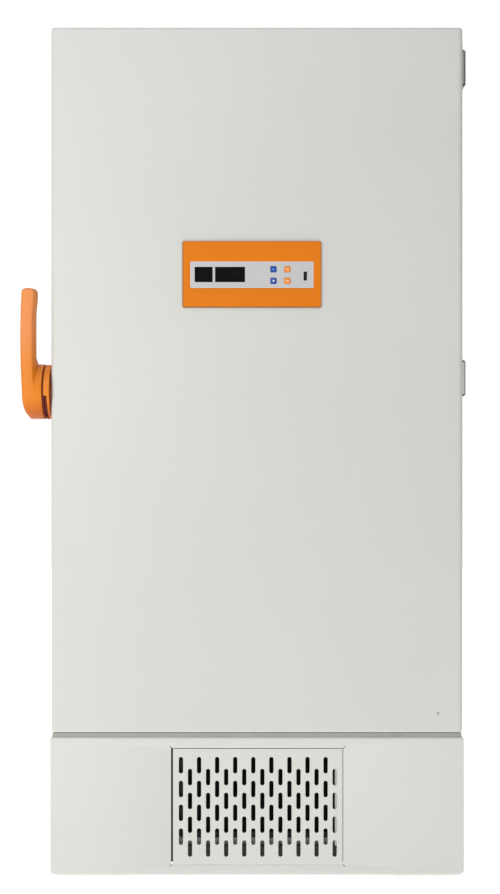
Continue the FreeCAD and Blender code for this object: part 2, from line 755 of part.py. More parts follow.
def temperature_probe():
    """Sensor tube on the chamber's back wall, held by two clips."""
    z = ROOM_TOP - PROBE_DROP
    y = ROOM_BACK - PROBE_R
    tube = rod(PROBE_R, PROBE_LENGTH, (-PROBE_LENGTH / 2, y, z), (1, 0, 0))
    clips = []
    for side in (-1, 1):
        x = side * PROBE_LENGTH / 4
        reach = PROBE_R + PROBE_CLIP_WALL
        clips.append(box(x - PROBE_CLIP / 2, x + PROBE_CLIP / 2,
                         y - reach, ROOM_BACK, z - reach, z + reach))
    return joined(tube, *clips)


def access_port():
    """Tube through the rear wall and the foam stopper that closes it."""
    z = ROOM_TOP - PORT_TUBE_DROP
    bore = PORT_TUBE_R - PORT_TUBE_WALL
    start = (PORT_TUBE_X, ROOM_BACK, z)
    length = DEPTH - ROOM_BACK
    tube = rod(PORT_TUBE_R, length, start, (0, 1, 0)).cut(
        rod(bore, length + 2, (PORT_TUBE_X, ROOM_BACK - 1, z), (0, 1, 0)))
    stem = rod(bore - TOUCH, PLUG_LENGTH, (PORT_TUBE_X, DEPTH - PLUG_LENGTH, z), (0, 1, 0))
    head = rod(PORT_TUBE_R + PLUG_HEAD_LAP, PLUG_HEAD, (PORT_TUBE_X, DEPTH, z), (0, 1, 0))
    return Part.makeCompound([tube, joined(stem, head)])


def hinge_bracket(z):
    """Cabinet half of a hinge: side plate, two arms, two knuckles and the pin."""
    half = HINGE_HEIGHT / 2
    plate = box(HALF, HALF + HINGE_PLATE, HINGE_BARREL_R, HINGE_BARREL_R + HINGE_PLATE_DEPTH,
                z - half, z + half)
    parts = []
    for low in (z - half, z + half - HINGE_END_KNUCKLE):
        parts.append(rod(HINGE_BARREL_R, HINGE_END_KNUCKLE, (HINGE_X, HINGE_Y, low), (0, 0, 1)))
        parts.append(box(HALF, HINGE_X, HINGE_Y, HINGE_BARREL_R + HINGE_PLATE,
                         low, low + HINGE_END_KNUCKLE))
    parts.append(rod(HINGE_PIN_R, HINGE_HEIGHT, (HINGE_X, HINGE_Y, z - half), (0, 0, 1)))
    return joined(plate, *parts)


def hinge_leaf(z):
    """Door half of a hinge: a plate on the door's side, an arm and its knuckle."""
    half = HINGE_HEIGHT / 2
    knuckle_half = half - HINGE_END_KNUCKLE - HINGE_KNUCKLE_GAP
    plate_back = HINGE_Y - HINGE_BARREL_R - HINGE_LEAF_GAP
    plate = box(DOOR_X, DOOR_X + HINGE_PLATE, plate_back - HINGE_PLATE_DEPTH, plate_back,
                z - half, z + half)
    low = z - knuckle_half
    high = z + knuckle_half
    web = box(DOOR_X, DOOR_X + HINGE_PLATE, plate_back - 1, HINGE_Y + HINGE_ARM_HALF, low, high)
    arm = box(DOOR_X, HINGE_X, HINGE_Y - HINGE_ARM_HALF, HINGE_Y + HINGE_ARM_HALF, low, high)
    knuckle = rod(HINGE_BARREL_R, high - low, (HINGE_X, HINGE_Y, low), (0, 0, 1))
    bore = rod(HINGE_PIN_R + RUN, high - low + 2, (HINGE_X, HINGE_Y, low - 1), (0, 0, 1))
    return joined(plate, web, arm, knuckle).cut(bore)


def hinge_cover(z):
    """Moulded cap over a hinge bracket, open towards the side panel and the front."""
    def hull(inset, front):
        half = COVER_HEIGHT / 2 - inset
        body = box(HALF, HALF + COVER_PROUD - inset, front,
                   HINGE_Y - COVER_FRONT + COVER_DEPTH - inset, z - half, z + half)
        outer_x = HALF + COVER_PROUD - inset
        radius = max(COVER_ROUND - inset, 0.5)
        return rounded(body, radius, 1, lambda edge: edge.BoundBox.XMin > outer_x - 0.5)
    outer = hull(0, HINGE_Y - COVER_FRONT)
    inner = hull(COVER_WALL, HINGE_Y - COVER_FRONT - 1)
    side = box(HALF - 1, HALF + 1, HINGE_Y - COVER_FRONT - 1,
               HINGE_Y - COVER_FRONT + COVER_DEPTH - COVER_WALL,
               z - COVER_HEIGHT / 2 + COVER_WALL, z + COVER_HEIGHT / 2 - COVER_WALL)
    return outer.cut([inner, side])


def door_block(inset, back):
    """Block of the door with its rounded edges, set in by a wall thickness."""
    x = DOOR_X - inset
    front = DOOR_FRONT + inset
    body = box(-x, x, front, back, DOOR_LOW + inset, HEIGHT - inset)
    upright = max(DOOR_EDGE_ROUND - inset, 0.5)
    level = max(DOOR_END_ROUND - inset, 0.5)
    body = rounded(body, upright, 2, lambda edge: edge.BoundBox.YMax < front + 0.5)
    front_ends = []
    for edge in body.Edges:
        bound = edge.BoundBox
        if bound.ZLength < 0.01 and bound.YMin < back - 0.5:
            front_ends.append(edge)
    return body.makeFillet(level, front_ends)


def panel_pocket(y0, y1):
    """Space behind the control panel that holds the board."""
    margin = PLATE_LEFT_IN
    return box(PANEL_LEFT + margin, PANEL_LEFT + PANEL_WIDTH - margin, y0, y1,
               PLATE_LOW - BOARD_MARGIN, PLATE_TOP + BOARD_MARGIN)


def door_skin():
    """Outer door pan of painted sheet, open at the back."""
    outer = door_block(0, DOOR_BACK)
    inner = door_block(SHEET, DOOR_BACK + 1)
    pocket = panel_pocket(DOOR_FRONT - 1, DOOR_FRONT + SHEET + 1)
    return outer.cut([inner, pocket])


def door_plug(back):
    """Raised middle field of the door's inner panel."""
    x = ROOM_X - DOOR_PLUG_INSET
    low = ROOM_LOW + DOOR_PLUG_INSET
    top = ROOM_TOP - DOOR_PLUG_INSET
    return rounded_box(-x, x, DOOR_BACK - DOOR_INNER_SHEET, back, low, top,
                       DOOR_PLUG_CORNER, 1)


def door_inner_panel():
    """White moulded panel on the door's inside, with its raised middle field."""
    x = DOOR_X - SHEET
    sheet = rounded_box(-x, x, DOOR_BACK - DOOR_INNER_SHEET, DOOR_BACK, DOOR_LOW + SHEET,
                        HEIGHT - SHEET, DOOR_END_ROUND - SHEET, 1)
    field = door_plug(DOOR_BACK + DOOR_PLUG_RISE)
    return joined(sheet, field)


def door_insulation():
    """Foam core of the door, hollowed behind the control panel."""
    core = door_block(SHEET, DOOR_BACK - DOOR_INNER_SHEET)
    pocket = panel_pocket(DOOR_FRONT, DOOR_FRONT + SHEET + POCKET_DEPTH)
    return core.cut(pocket)


def door_gasket():
    """Magnetic seal ring between the door's inner panel and the cabinet."""
    x = DOOR_X - GASKET_INSET
    low = DOOR_LOW + GASKET_INSET
    top = HEIGHT - GASKET_INSET
    y1 = -TOUCH
    ring = rounded_box(-x, x, DOOR_BACK, y1, low, top, GASKET_CORNER, 1)
    width = GASKET_WIDTH
    hole = box(-x + width, x - width, DOOR_BACK - 1, y1 + 1, low + width, top - width)
    return ring.cut(hole)


def panel_outline(y0, y1):
    """Outline of the control panel's front plate."""
    return rounded_box(PANEL_LEFT, PANEL_LEFT + PANEL_WIDTH, y0, y1,
                       PANEL_LOW, PANEL_LOW + PANEL_HEIGHT, PANEL_ROUND, 1)


def plate_outline(y0, y1, grow):
    """Outline of the grey key plate, grown by a clearance."""
    return rounded_box(PLATE_LEFT - grow, PLATE_RIGHT + grow, y0, y1,
                       PLATE_LOW - grow, PLATE_TOP + grow, PLATE_ROUND, 1)


def button_places():
    """Name and centre of the four keys, seen from the front."""
    x1 = PLATE_RIGHT - BUTTON_COLUMN_1_RIGHT_IN
    x2 = x1 + BUTTON_COLUMN_PITCH
    low = PLATE_LOW + BUTTON_ROW_1_IN
    high = low + BUTTON_ROW_PITCH
    return {
        "key_blue_upper": (x1, high),
        "key_blue_lower": (x1, low),
        "key_orange_upper": (x2, high),
        "key_orange_lower": (x2, low),
    }


def window_outline(left_in, width, y0, y1, grow):
    """Outline of one display window, grown by a clearance."""
    x = PLATE_LEFT + left_in
    z = PLATE_LOW + WINDOW_LOW_IN
    return box(x - grow, x + width + grow, y0, y1, z - grow, z + WINDOW_HEIGHT + grow)


def windows(y0, y1, grow):
    """Both display windows."""
    return [window_outline(WINDOW_1_IN, WINDOW_1_WIDTH, y0, y1, grow),
            window_outline(WINDOW_2_IN, WINDOW_2_WIDTH, y0, y1, grow)]


def port_outline(y0, y1, grow):
    """Outline of the upright data socket, grown by a clearance."""
    x = PLATE_RIGHT - PORT_RIGHT_IN
    z = (PLATE_LOW + PLATE_TOP) / 2 - PORT_DROP
    return box(x - PORT_WIDTH / 2 - grow, x + PORT_WIDTH / 2 + grow, y0, y1,
               z - PORT_HEIGHT / 2 - grow, z + PORT_HEIGHT / 2 + grow)


def control_bezel():
    """Moulded front plate with a recess for the key plate and holes behind it."""
    body = panel_outline(PANEL_FRONT, DOOR_FRONT)
    cutters = [plate_outline(PANEL_FRONT - 1, PLATE_BACK, TOUCH),
               port_outline(PANEL_FRONT - 1, DOOR_FRONT + 1, TOUCH)]
    for x, z in button_places().values():
        cutters.append(rod(BUTTON_STEM_R + TOUCH, PANEL_PROUD + 2,
                           (x, PANEL_FRONT - 1, z), (0, 1, 0)))
    return body.cut(cutters)


def control_membrane():
    """Grey key plate with window seats, key holes and the socket hole."""
    body = plate_outline(PANEL_FRONT, PLATE_BACK, 0)
    y0 = PANEL_FRONT - 1
    cutters = windows(y0, PANEL_FRONT + WINDOW_SUNK + WINDOW_THICK, 0)
    cutters.append(port_outline(y0, PLATE_BACK + 1, TOUCH))
    half = BUTTON / 2 + BUTTON_GAP
    for x, z in button_places().values():
        cutters.append(rounded_box(x - half, x + half, y0, PLATE_BACK + 1,
                                   z - half, z + half, BUTTON_ROUND, 1))
    return body.cut(cutters)


def display_windows():
    """Two dark windows let into the key plate."""
    y0 = PANEL_FRONT + WINDOW_SUNK
    return Part.makeCompound(windows(y0, y0 + WINDOW_THICK, 0))


def board_front():
    """Front face of the circuit board."""
    return DOOR_FRONT + BOARD_BEHIND


def button(x, z):
    """Key cap with the stem that reaches its switch."""
    half = BUTTON / 2
    front = PANEL_FRONT - BUTTON_PROUD
    back = PLATE_BACK - BUTTON_TRAVEL - BUTTON_BACKLASH
    cap = rounded_box(x - half, x + half, front, back, z - half, z + half, BUTTON_ROUND, 1)
    stem_end = board_front() - SWITCH_HEIGHT - BUTTON_TRAVEL - BUTTON_BACKLASH
    stem = rod(BUTTON_STEM_R, stem_end - back, (x, back, z), (0, 1, 0))
    return joined(cap, stem)


def control_board():
    """Circuit board on four posts, with a switch behind each key and the socket."""
    y0 = board_front()
    y1 = y0 + BOARD_THICK
    x0 = PANEL_LEFT + PLATE_LEFT_IN + BOARD_MARGIN
    x1 = PANEL_LEFT + PANEL_WIDTH - PLATE_LEFT_IN - BOARD_MARGIN
    z0 = PLATE_LOW
    z1 = PLATE_TOP
    board = box(x0, x1, y0, y1, z0, z1)
    extras = []
    for x, z in button_places().values():
        extras.append(box(x - SWITCH_HALF, x + SWITCH_HALF, y0 - SWITCH_HEIGHT, y0,
                          z - SWITCH_HALF, z + SWITCH_HALF))
    for x in (x0 + 2 * POST_R, x1 - POST_R):
        for z in (z0 + POST_R, z1 - POST_R):
            extras.append(rod(POST_R, BOARD_BEHIND, (x, DOOR_FRONT, z), (0, 1, 0)))
    socket = port_outline(PANEL_FRONT + WINDOW_SUNK, y0, 0)
    mouth = port_outline(PANEL_FRONT - 1, DOOR_FRONT, -PORT_MOUTH_WALL)
    tongue = port_outline(PANEL_FRONT + PORT_TONGUE_IN, DOOR_FRONT,
                          (PORT_TONGUE_THICK - PORT_WIDTH) / 2)
    shell = socket.cut(mouth)
    return joined(board, shell, tongue, *extras)


def wedge(radius, start_deg, end_deg, x0, x1):
    """Pie-shaped cutter about the hub axis, angles from the rear towards the top."""
    steps = 6
    points = [V(x0, HUB_Y, HUB_Z)]
    for index in range(steps + 1):
        angle = math.radians(start_deg + (end_deg - start_deg) * index / steps)
        points.append(V(x0, HUB_Y + radius * math.cos(angle), HUB_Z + radius * math.sin(angle)))
    face = Part.Face(Part.makePolygon(points + points[:1]))
    return face.extrude(V(x1 - x0, 0, 0))


def hub_rod(radius, x0, x1):
    """Cylinder on the handle's turning axis."""
    return rod(radius, x1 - x0, (x0, HUB_Y, HUB_Z), (1, 0, 0))


def handle_base():
    """Door-side ring, its mounting disc and the axle that carries the lever."""
    ring = hub_rod(HUB_RADIUS, RING_LEFT, RING_RIGHT).cut(
        hub_rod(RING_INNER_R, RING_LEFT - 1, RING_RIGHT + 1))
    gap = wedge(HUB_RADIUS * 1.5, HOOK_GAP_LOW, HOOK_GAP_HIGH, RING_LEFT - 1, RING_RIGHT + 1)
    notch_ring = hub_rod(HUB_RADIUS + 1, RING_LEFT - 1, RING_LEFT + RING_NOTCH).cut(
        hub_rod(HUB_RADIUS - RING_NOTCH_DEPTH, RING_LEFT - 2, RING_RIGHT))
    notch = notch_ring.common(wedge(
        HUB_RADIUS * 1.5, RING_NOTCH_START, RING_NOTCH_END, RING_LEFT - 2, RING_RIGHT))
    ring = ring.cut([gap, notch])
    seat = box(RING_RIGHT, -DOOR_X, HUB_Y - SEAT_REACH, DOOR_BACK - SEAT_BACK_IN,
               HUB_Z - SEAT_HALF, HUB_Z + SEAT_HALF)
    web = box(RING_RIGHT - WEB_THICK, RING_RIGHT, HUB_Y - RING_INNER_R - WEB_LAP, HUB_Y,
              HUB_Z - WEB_HALF, HUB_Z + WEB_HALF)
    axle = hub_rod(AXLE_R, -DOOR_X - AXLE_LENGTH, -DOOR_X)
    return joined(seat, ring, web, axle)


def handle_lever():
    """Lever: a drum on the axle and a tall blade that is pulled forward."""
    drum = hub_rod(HUB_RADIUS, HUB_LEFT, HUB_RIGHT)
    rims = [edge for edge in drum.Edges if edge.BoundBox.XMax < HUB_LEFT + 0.5]
    drum = drum.makeFillet(HUB_ROUND, rims)
    front = HUB_Y - HUB_RADIUS
    blade = box(HUB_LEFT, HUB_LEFT + BLADE_WIDTH, front, front + BLADE_THICK, HUB_Z, BLADE_TOP)
    blade = rounded(blade, BLADE_ROUND, 1, lambda edge: edge.BoundBox.ZMin > BLADE_TOP - 0.5)
    blade = rounded(blade, BLADE_EDGE_ROUND, 2,
                    lambda edge: edge.BoundBox.YMax < front + 0.5
                    and edge.BoundBox.XMax < HUB_LEFT + 0.5)
    corner_x = HUB_LEFT + BLADE_WIDTH
    facet = Part.Face(Part.makePolygon([
        V(corner_x - BLADE_FACET, front - 1, HUB_Z), V(corner_x + 1, front - 1, HUB_Z),
        V(corner_x + 1, front + BLADE_FACET_DEPTH, HUB_Z),
        V(corner_x, front + BLADE_FACET_DEPTH, HUB_Z),
        V(corner_x - BLADE_FACET, front, HUB_Z), V(corner_x - BLADE_FACET, front - 1, HUB_Z)]))
    blade = blade.cut(facet.extrude(V(0, 0, BLADE_TOP - HUB_Z + 1)))
    root = box(HUB_LEFT + HUB_ROUND, HUB_LEFT + BLADE_WIDTH, front + BLADE_ROUND,
               HUB_Y, HUB_Z, HUB_Z + BLADE_ROOT_HEIGHT)
    axle_bore = hub_rod(AXLE_R + RUN, -DOOR_X - AXLE_LENGTH - 1, HUB_RIGHT + 1)
    lock_bore = hub_rod(LOCK_R + RUN, HUB_LEFT - 1, HUB_LEFT - LOCK_PROUD + LOCK_LENGTH + RUN)
    return joined(drum, blade, root).cut([axle_bore, lock_bore])


def lock_cylinder():
    """Key lock in the middle of the lever's drum, with a key slit."""
    x0 = HUB_LEFT - LOCK_PROUD
    body = hub_rod(LOCK_R, x0, x0 + LOCK_LENGTH)
    slit = box(x0 - 1, x0 + LOCK_LENGTH / 2, HUB_Y - KEYHOLE_WIDTH / 2,
               HUB_Y + KEYHOLE_WIDTH / 2, HUB_Z - KEYHOLE_HEIGHT / 2, HUB_Z + KEYHOLE_HEIGHT / 2)
    return body.cut(slit)


def latch_hook():
    """Hook plate on the lever's drum that reaches back round the keeper pin."""
    x0 = HUB_RIGHT
    x1 = x0 + HOOK_THICK
    pin_z = HUB_Z - KEEPER_DROP
    tip_front = KEEPER_BACK + KEEPER_PIN_R + TOUCH
    arm_low = pin_z + KEEPER_PIN_R + HOOK_PIN_GAP
    arm = box(x0, x1, HUB_Y, tip_front + HOOK_TIP, arm_low, arm_low + HOOK_ARM)
    tip = box(x0, x1, tip_front, tip_front + HOOK_TIP, pin_z - 2 * KEEPER_PIN_R,
              arm_low + HOOK_ARM)
    boss = hub_rod(HOOK_BOSS_R, x0, x1)
    body = joined(boss, arm, tip)
    body = rounded(body, HOOK_ROUND, 0,
                   lambda edge: edge.BoundBox.YMin > tip_front + HOOK_TIP - 0.5)
    return body.cut(hub_rod(AXLE_R + RUN, x0 - 1, x1 + 1))


def latch_keeper():
    """Plate on the cabinet's side with the pin that the hook draws against."""
    pin_z = HUB_Z - KEEPER_DROP
    plate_front = HUB_Y + HUB_RADIUS + TOUCH
    plate = rounded_box(-HALF - KEEPER_PLATE, -HALF, plate_front, plate_front + KEEPER_DEPTH,
                        pin_z - KEEPER_HALF, pin_z + KEEPER_HALF, KEEPER_ROUND, 0)
    pin_left = HUB_RIGHT - TOUCH
    pin = rod(KEEPER_PIN_R, -HALF - pin_left, (pin_left, KEEPER_BACK, pin_z), (1, 0, 0))
    return joined(plate, pin)


def hatch_opening(y0, y1):
    """Window in the front panel that the grille fills."""
    return box(HATCH_LEFT - HATCH_GAP_LEFT, HATCH_RIGHT + HATCH_GAP_RIGHT, y0, y1,
               HATCH_LOW - HATCH_GAP_LOW, HATCH_TOP + HATCH_GAP_TOP)


def front_lower_panel():
    """Pan-shaped lower front panel, with two tabs that hold the grille's pins."""
    outer = box(-HALF, HALF, DOOR_FRONT, 0, FLOOR_GAP, BASE_TOP)
    outer = rounded(outer, PANEL_CORNER, 1, lambda edge: edge.BoundBox.ZMax < FLOOR_GAP + 0.5)
    inner = box(-HALF + SHEET, HALF - SHEET, DOOR_FRONT + SHEET, 1, FLOOR_GAP + SHEET,
                BASE_TOP - SHEET)
    inner = rounded(inner, PANEL_CORNER - SHEET, 1,
                    lambda edge: edge.BoundBox.ZMax < FLOOR_GAP + SHEET + 0.5)
    under = box(-HALF + FLANGE, HALF - FLANGE, DOOR_FRONT + FLANGE, 1,
                FLOOR_GAP - 1, FLOOR_GAP + SHEET + 1)
    pan = outer.cut([inner, under, hatch_opening(DOOR_FRONT - 1, DOOR_FRONT + SHEET + 1)])
    tabs = []
    for end, way in ((HATCH_TOP + HATCH_GAP_TOP, 1), (HATCH_LOW - HATCH_GAP_LOW, -1)):
        z0, z1 = sorted((end, end + way * HATCH_TAB / 2))
        tabs.append(box(HATCH_AXIS_X - HATCH_TAB, HATCH_RIGHT + HATCH_GAP_RIGHT + 2,
                        DOOR_FRONT + SHEET, DOOR_FRONT + HATCH_FLANGE, z0, z1))
        tabs.append(rod(HATCH_PIN_R, HATCH_PIN + HATCH_TAB / 2,
                        (HATCH_AXIS_X, HATCH_AXIS_Y, end + way * HATCH_TAB / 2), (0, 0, -way)))
    return joined(pan, *tabs)


def grille_slots(y0, y1):
    """Cutters of the staggered slot pattern."""
    cutters = []
    for column in range(SLOT_COLUMNS):
        x = HATCH_LEFT + SLOT_FIRST_IN + column * SLOT_PITCH
        drop = 0.0 if column % 2 == 0 else SLOT_STEP / 2
        for row in range(SLOT_ROWS):
            top = HATCH_TOP - SLOT_TOP_IN - drop - row * SLOT_STEP
            cutters.append(slot_cutter(x, top, y0, y1))
    return cutters


def grille_hatch():
    """Slotted door of the lower front panel, with four returns and two pin bores."""
    y0 = DOOR_FRONT
    y1 = DOOR_FRONT + HATCH_FLANGE
    outer = box(HATCH_LEFT, HATCH_RIGHT, y0, y1, HATCH_LOW, HATCH_TOP)
    inner = box(HATCH_LEFT + SHEET, HATCH_RIGHT - SHEET, y0 + SHEET, y1 + 1,
                HATCH_LOW + SHEET, HATCH_TOP - SHEET)
    bores = [rod(HATCH_PIN_R + RUN, HATCH_HEIGHT + 2,
                 (HATCH_AXIS_X, HATCH_AXIS_Y, HATCH_LOW - 1), (0, 0, 1))]
    return outer.cut([inner] + bores + grille_slots(y0 - 1, y0 + SHEET + 1))


def base_frame():
    """Welded pan that carries the machinery, with holes for the two screw feet."""
    outer = box(-PAN_X, PAN_X, PAN_FRONT, PAN_REAR, PAN_LOW, PAN_TOP)
    inner = box(-PAN_X + PAN_SHEET, PAN_X - PAN_SHEET, PAN_FRONT + PAN_SHEET,
                PAN_REAR - PAN_SHEET, PAN_FLOOR, PAN_TOP + 1)
    holes = []
    for side in (-1, 1):
        holes.append(rod(FOOT_ROD_R + RUN, PAN_HEIGHT + 2,
                         (side * FOOT_X, foot_y(), PAN_LOW - 1), (0, 0, 1)))
    ribs = []
    rib_x = COMPRESSOR_X - PAN_RIB_FROM_CAN
    for x in (-rib_x, rib_x):
        ribs.append(box(x - PAN_RIB_WIDTH / 2, x + PAN_RIB_WIDTH / 2,
                        SHROUD_BACK + MOTOR_LENGTH, PAN_REAR - PAN_SHEET,
                        PAN_FLOOR, PAN_FLOOR + PAN_SHEET))
    nuts = [rod(FOOT_NUT_R, PAN_HEIGHT - PAN_SHEET, (side * FOOT_X, foot_y(), PAN_FLOOR),
                (0, 0, 1)) for side in (-1, 1)]
    return joined(outer.cut(inner), *ribs, *nuts).cut(holes)


def foot_y():
    """Y of the levelling feet."""
    return PAN_FRONT + FOOT_FRONT_IN


def levelling_foot(side):
    """Screw foot: a pad on the floor and its threaded rod."""
    centre = (side * FOOT_X, foot_y(), 0)
    pad = Part.makeCone(FOOT_PAD_R, FOOT_NECK_R, FOOT_PAD_HEIGHT, V(*centre), V(0, 0, 1))
    screw = rod(FOOT_ROD_R, FOOT_ROD_TOP, centre, (0, 0, 1))
    return joined(pad, screw)


def caster_fork(x, y):
    """Caster fork: crown, two cheeks and the wheel axle, trailing to the back."""
    crown_top = CASTER_HEIGHT - CASTER_PLATE - TOUCH
    crown_low = crown_top - FORK_CROWN
    inner = WHEEL_WIDTH / 2 + FORK_GAP
    crown = rod(FORK_CROWN_R, FORK_CROWN, (x, y, crown_low), (0, 0, 1))
    roof = box(x - inner - FORK_CHEEK, x + inner + FORK_CHEEK, y, y + FORK_TRAIL,
               crown_low, crown_top)
    axle_y = y + FORK_TRAIL
    cheeks = []
    for x0 in (x - inner - FORK_CHEEK, x + inner):
        cheeks.append(box(x0, x0 + FORK_CHEEK, y - CHEEK_FRONT, axle_y + CHEEK_REAR,
                          WHEEL_R - CHEEK_UNDER, crown_top))
    axle = rod(WHEEL_AXLE_R, 2 * (inner + FORK_CHEEK), (x - inner - FORK_CHEEK, axle_y, WHEEL_R),
               (1, 0, 0))
    return joined(crown, roof, axle, *cheeks)


def caster_plate(x, y):
    """Mounting plate of a caster under the base pan."""
    half = CASTER_PLATE_HALF
    return rounded_box(x - half, x + half, y - half, y + half,
                       CASTER_HEIGHT - CASTER_PLATE, CASTER_HEIGHT, CASTER_PLATE_ROUND, 2)


def caster_wheel(x, y):
    """Wheel with a rounded tread, bored for its axle."""
    centre = (x - WHEEL_WIDTH / 2, y + FORK_TRAIL, WHEEL_R)
    tread = rod(WHEEL_R, WHEEL_WIDTH, centre, (1, 0, 0))
    rims = [edge for edge in tread.Edges if edge.BoundBox.XLength < 0.01]
    tread = tread.makeFillet(WHEEL_ROUND, rims)
    return tread.cut(rod(WHEEL_AXLE_R + RUN, WHEEL_WIDTH + 2,
                         (centre[0] - 1, centre[1], centre[2]), (1, 0, 0)))


def air_filter():
    """Framed mesh filter that stands on the base pan's front edge."""
    z0 = PAN_TOP + TOUCH
    z1 = z0 + FILTER_HEIGHT
    y0 = FILTER_FRONT - PAN_SHEET
    y1 = y0 + FILTER_THICK
    frame = box(-FILTER_HALF, FILTER_HALF, y0, y1, z0, z1)
    inner = FILTER_HALF - FILTER_RIM
    front = box(-inner, inner, y0 - 1, y0 + FILTER_MESH, z0 + FILTER_RIM, z1 - FILTER_RIM)
    rear = box(-inner, inner, y1 - FILTER_MESH, y1 + 1, z0 + FILTER_RIM, z1 - FILTER_RIM)
    return frame.cut([front, rear])


def condenser_coil():
    """Flat-tube condenser: two upright headers and level flat tubes."""
    headers = [rod(CONDENSER_HEADER_R, CONDENSER_TOP - PAN_FLOOR,
                   (side * CONDENSER_HALF, CONDENSER_Y, PAN_FLOOR), (0, 0, 1))
               for side in (-1, 1)]
    low = PAN_TOP + CONDENSER_HEADER_R
    step = (CONDENSER_TOP - CONDENSER_HEADER_R - low) / (CONDENSER_TUBES - 1)
    depth = CONDENSER_TUBE_DEPTH / 2
    tubes = []
    for index in range(CONDENSER_TUBES):
        z = low + index * step
        tubes.append(box(-CONDENSER_HALF, CONDENSER_HALF, CONDENSER_Y - depth,
                         CONDENSER_Y + depth, z, z + CONDENSER_TUBE_THICK))
    return joined(headers[0], headers[1], *tubes)


def fan_shroud():
    """Duct behind the condenser that narrows to the fan's collar."""
    x = SHROUD_HALF
    z0 = PAN_FLOOR
    z1 = CONDENSER_TOP
    y0 = SHROUD_FRONT
    y1 = SHROUD_BACK
    hole_r = FAN_R + FAN_TIP_GAP
    sheet = SHROUD_SHEET
    duct = box(-x, x, y0, y1, z0, z1).cut(
        box(-x + sheet, x - sheet, y0 - 1, y1 - sheet, z0 + sheet, z1 - sheet))
    collar = rod(hole_r + sheet, SHROUD_COLLAR, (0, y1 - sheet, FAN_Z), (0, 1, 0))
    hole = rod(hole_r, SHROUD_COLLAR + 2 * sheet + 2, (0, y1 - 2 * sheet - 1, FAN_Z), (0, 1, 0))
    return joined(duct, collar).cut(hole)


def fan_blade():
    """Axial fan: a hub on the motor shaft and pitched blades."""
    y0 = SHROUD_BACK + (SHROUD_COLLAR - FAN_DEPTH) / 2
    hub = rod(FAN_HUB_R, FAN_DEPTH, (0, y0, FAN_Z), (0, 1, 0))
    middle = y0 + FAN_DEPTH / 2
    blades = []
    for index in range(FAN_BLADES):
        blade = box(-FAN_BLADE_WIDTH / 2, FAN_BLADE_WIDTH / 2, -FAN_BLADE_THICK / 2,
                    FAN_BLADE_THICK / 2, FAN_BLADE_ROOT, FAN_R)
        blade.rotate(V(0, 0, 0), V(0, 0, 1), FAN_PITCH)
        blade.rotate(V(0, 0, 0), V(0, 1, 0), 360.0 * index / FAN_BLADES)
        blade.translate(V(0, middle, FAN_Z))
        blades.append(blade)
    disc = rod(FAN_R, FAN_DEPTH, (0, y0, FAN_Z), (0, 1, 0))
    bore = rod(MOTOR_SHAFT_R + RUN, FAN_DEPTH + 2, (0, y0 - 1, FAN_Z), (0, 1, 0))
    return joined(hub, *blades).common(disc).cut(bore)


def fan_motor():
    """Fan motor, its shaft and the three arms that hold it to the shroud."""
    collar_end = SHROUD_BACK - SHROUD_SHEET + SHROUD_COLLAR
    y0 = collar_end + SHROUD_SHEET + TOUCH
    can = rod(MOTOR_R, MOTOR_LENGTH, (0, y0, FAN_Z), (0, 1, 0))
    shaft_front = SHROUD_BACK + (SHROUD_COLLAR - FAN_DEPTH) / 2
    shaft = rod(MOTOR_SHAFT_R, y0 - shaft_front + 1, (0, shaft_front, FAN_Z), (0, 1, 0))
    reach = FAN_R + FAN_TIP_GAP + SHROUD_SHEET
    arms = []
    for index in range(MOTOR_ARMS):
        arm = box(-MOTOR_ARM / 2, MOTOR_ARM / 2, 0, MOTOR_ARM_THICK, 0, reach)
        arm.rotate(V(0, 0, 0), V(0, 1, 0), 360.0 * index / MOTOR_ARMS)
        arm.translate(V(0, collar_end, FAN_Z))
        arms.append(arm)
    bosses = rod(MOTOR_SHAFT_R * 2, y0 - collar_end, (0, collar_end, FAN_Z), (0, 1, 0))
    return joined(can, shaft, bosses, *arms)


def compressor(x):
    """Sealed compressor: a domed can on a foot plate and four grommets."""
    foot_z = PAN_FLOOR + PAN_SHEET + GROMMET
    low = foot_z + COMPRESSOR_FOOT_SHEET
    top = PAN_FLOOR + PAN_SHEET + COMPRESSOR_HEIGHT
    r = COMPRESSOR_R
    dome = COMPRESSOR_DOME
    crown = r * 0.30
    start = V(0, 0, low)
    outline = [
        Part.makeLine(start, V(r * 0.75, 0, low)),
        Part.Arc(V(r * 0.75, 0, low), V(r * 0.93, 0, low + dome * 0.16),
                 V(r, 0, low + dome * 0.6)).toShape(),
        Part.makeLine(V(r, 0, low + dome * 0.6), V(r, 0, top - dome)),
        Part.Arc(V(r, 0, top - dome), V(r * 0.80, 0, top - dome * 0.32),
                 V(crown, 0, top)).toShape(),
        Part.makeLine(V(crown, 0, top), V(0, 0, top)),
        Part.makeLine(V(0, 0, top), start),
    ]
    can = Part.Face(Part.Wire(outline)).revolve(V(0, 0, 0), V(0, 0, 1), 360)
    foot = COMPRESSOR_FOOT
    depth = COMPRESSOR_FOOT_DEPTH
    plate = rounded_box(-foot, foot, -depth, depth, foot_z, low, COMPRESSOR_FOOT_ROUND, 2)
    parts = [plate]
    for sx in (-1, 1):
        for sy in (-1, 1):
            place = (sx * (foot - GROMMET_R - GROMMET_IN),
                     sy * (depth - GROMMET_R - GROMMET_IN), PAN_FLOOR)
            parts.append(rod(GROMMET_R, foot_z - PAN_FLOOR, place, (0, 0, 1)))
    body = joined(can, *parts)
    body.translate(V(x, COMPRESSOR_Y, 0))
    return body


def compressors():
    """The two stages' compressors, side by side."""
    return Part.makeCompound([compressor(side * COMPRESSOR_X) for side in (-1, 1)])


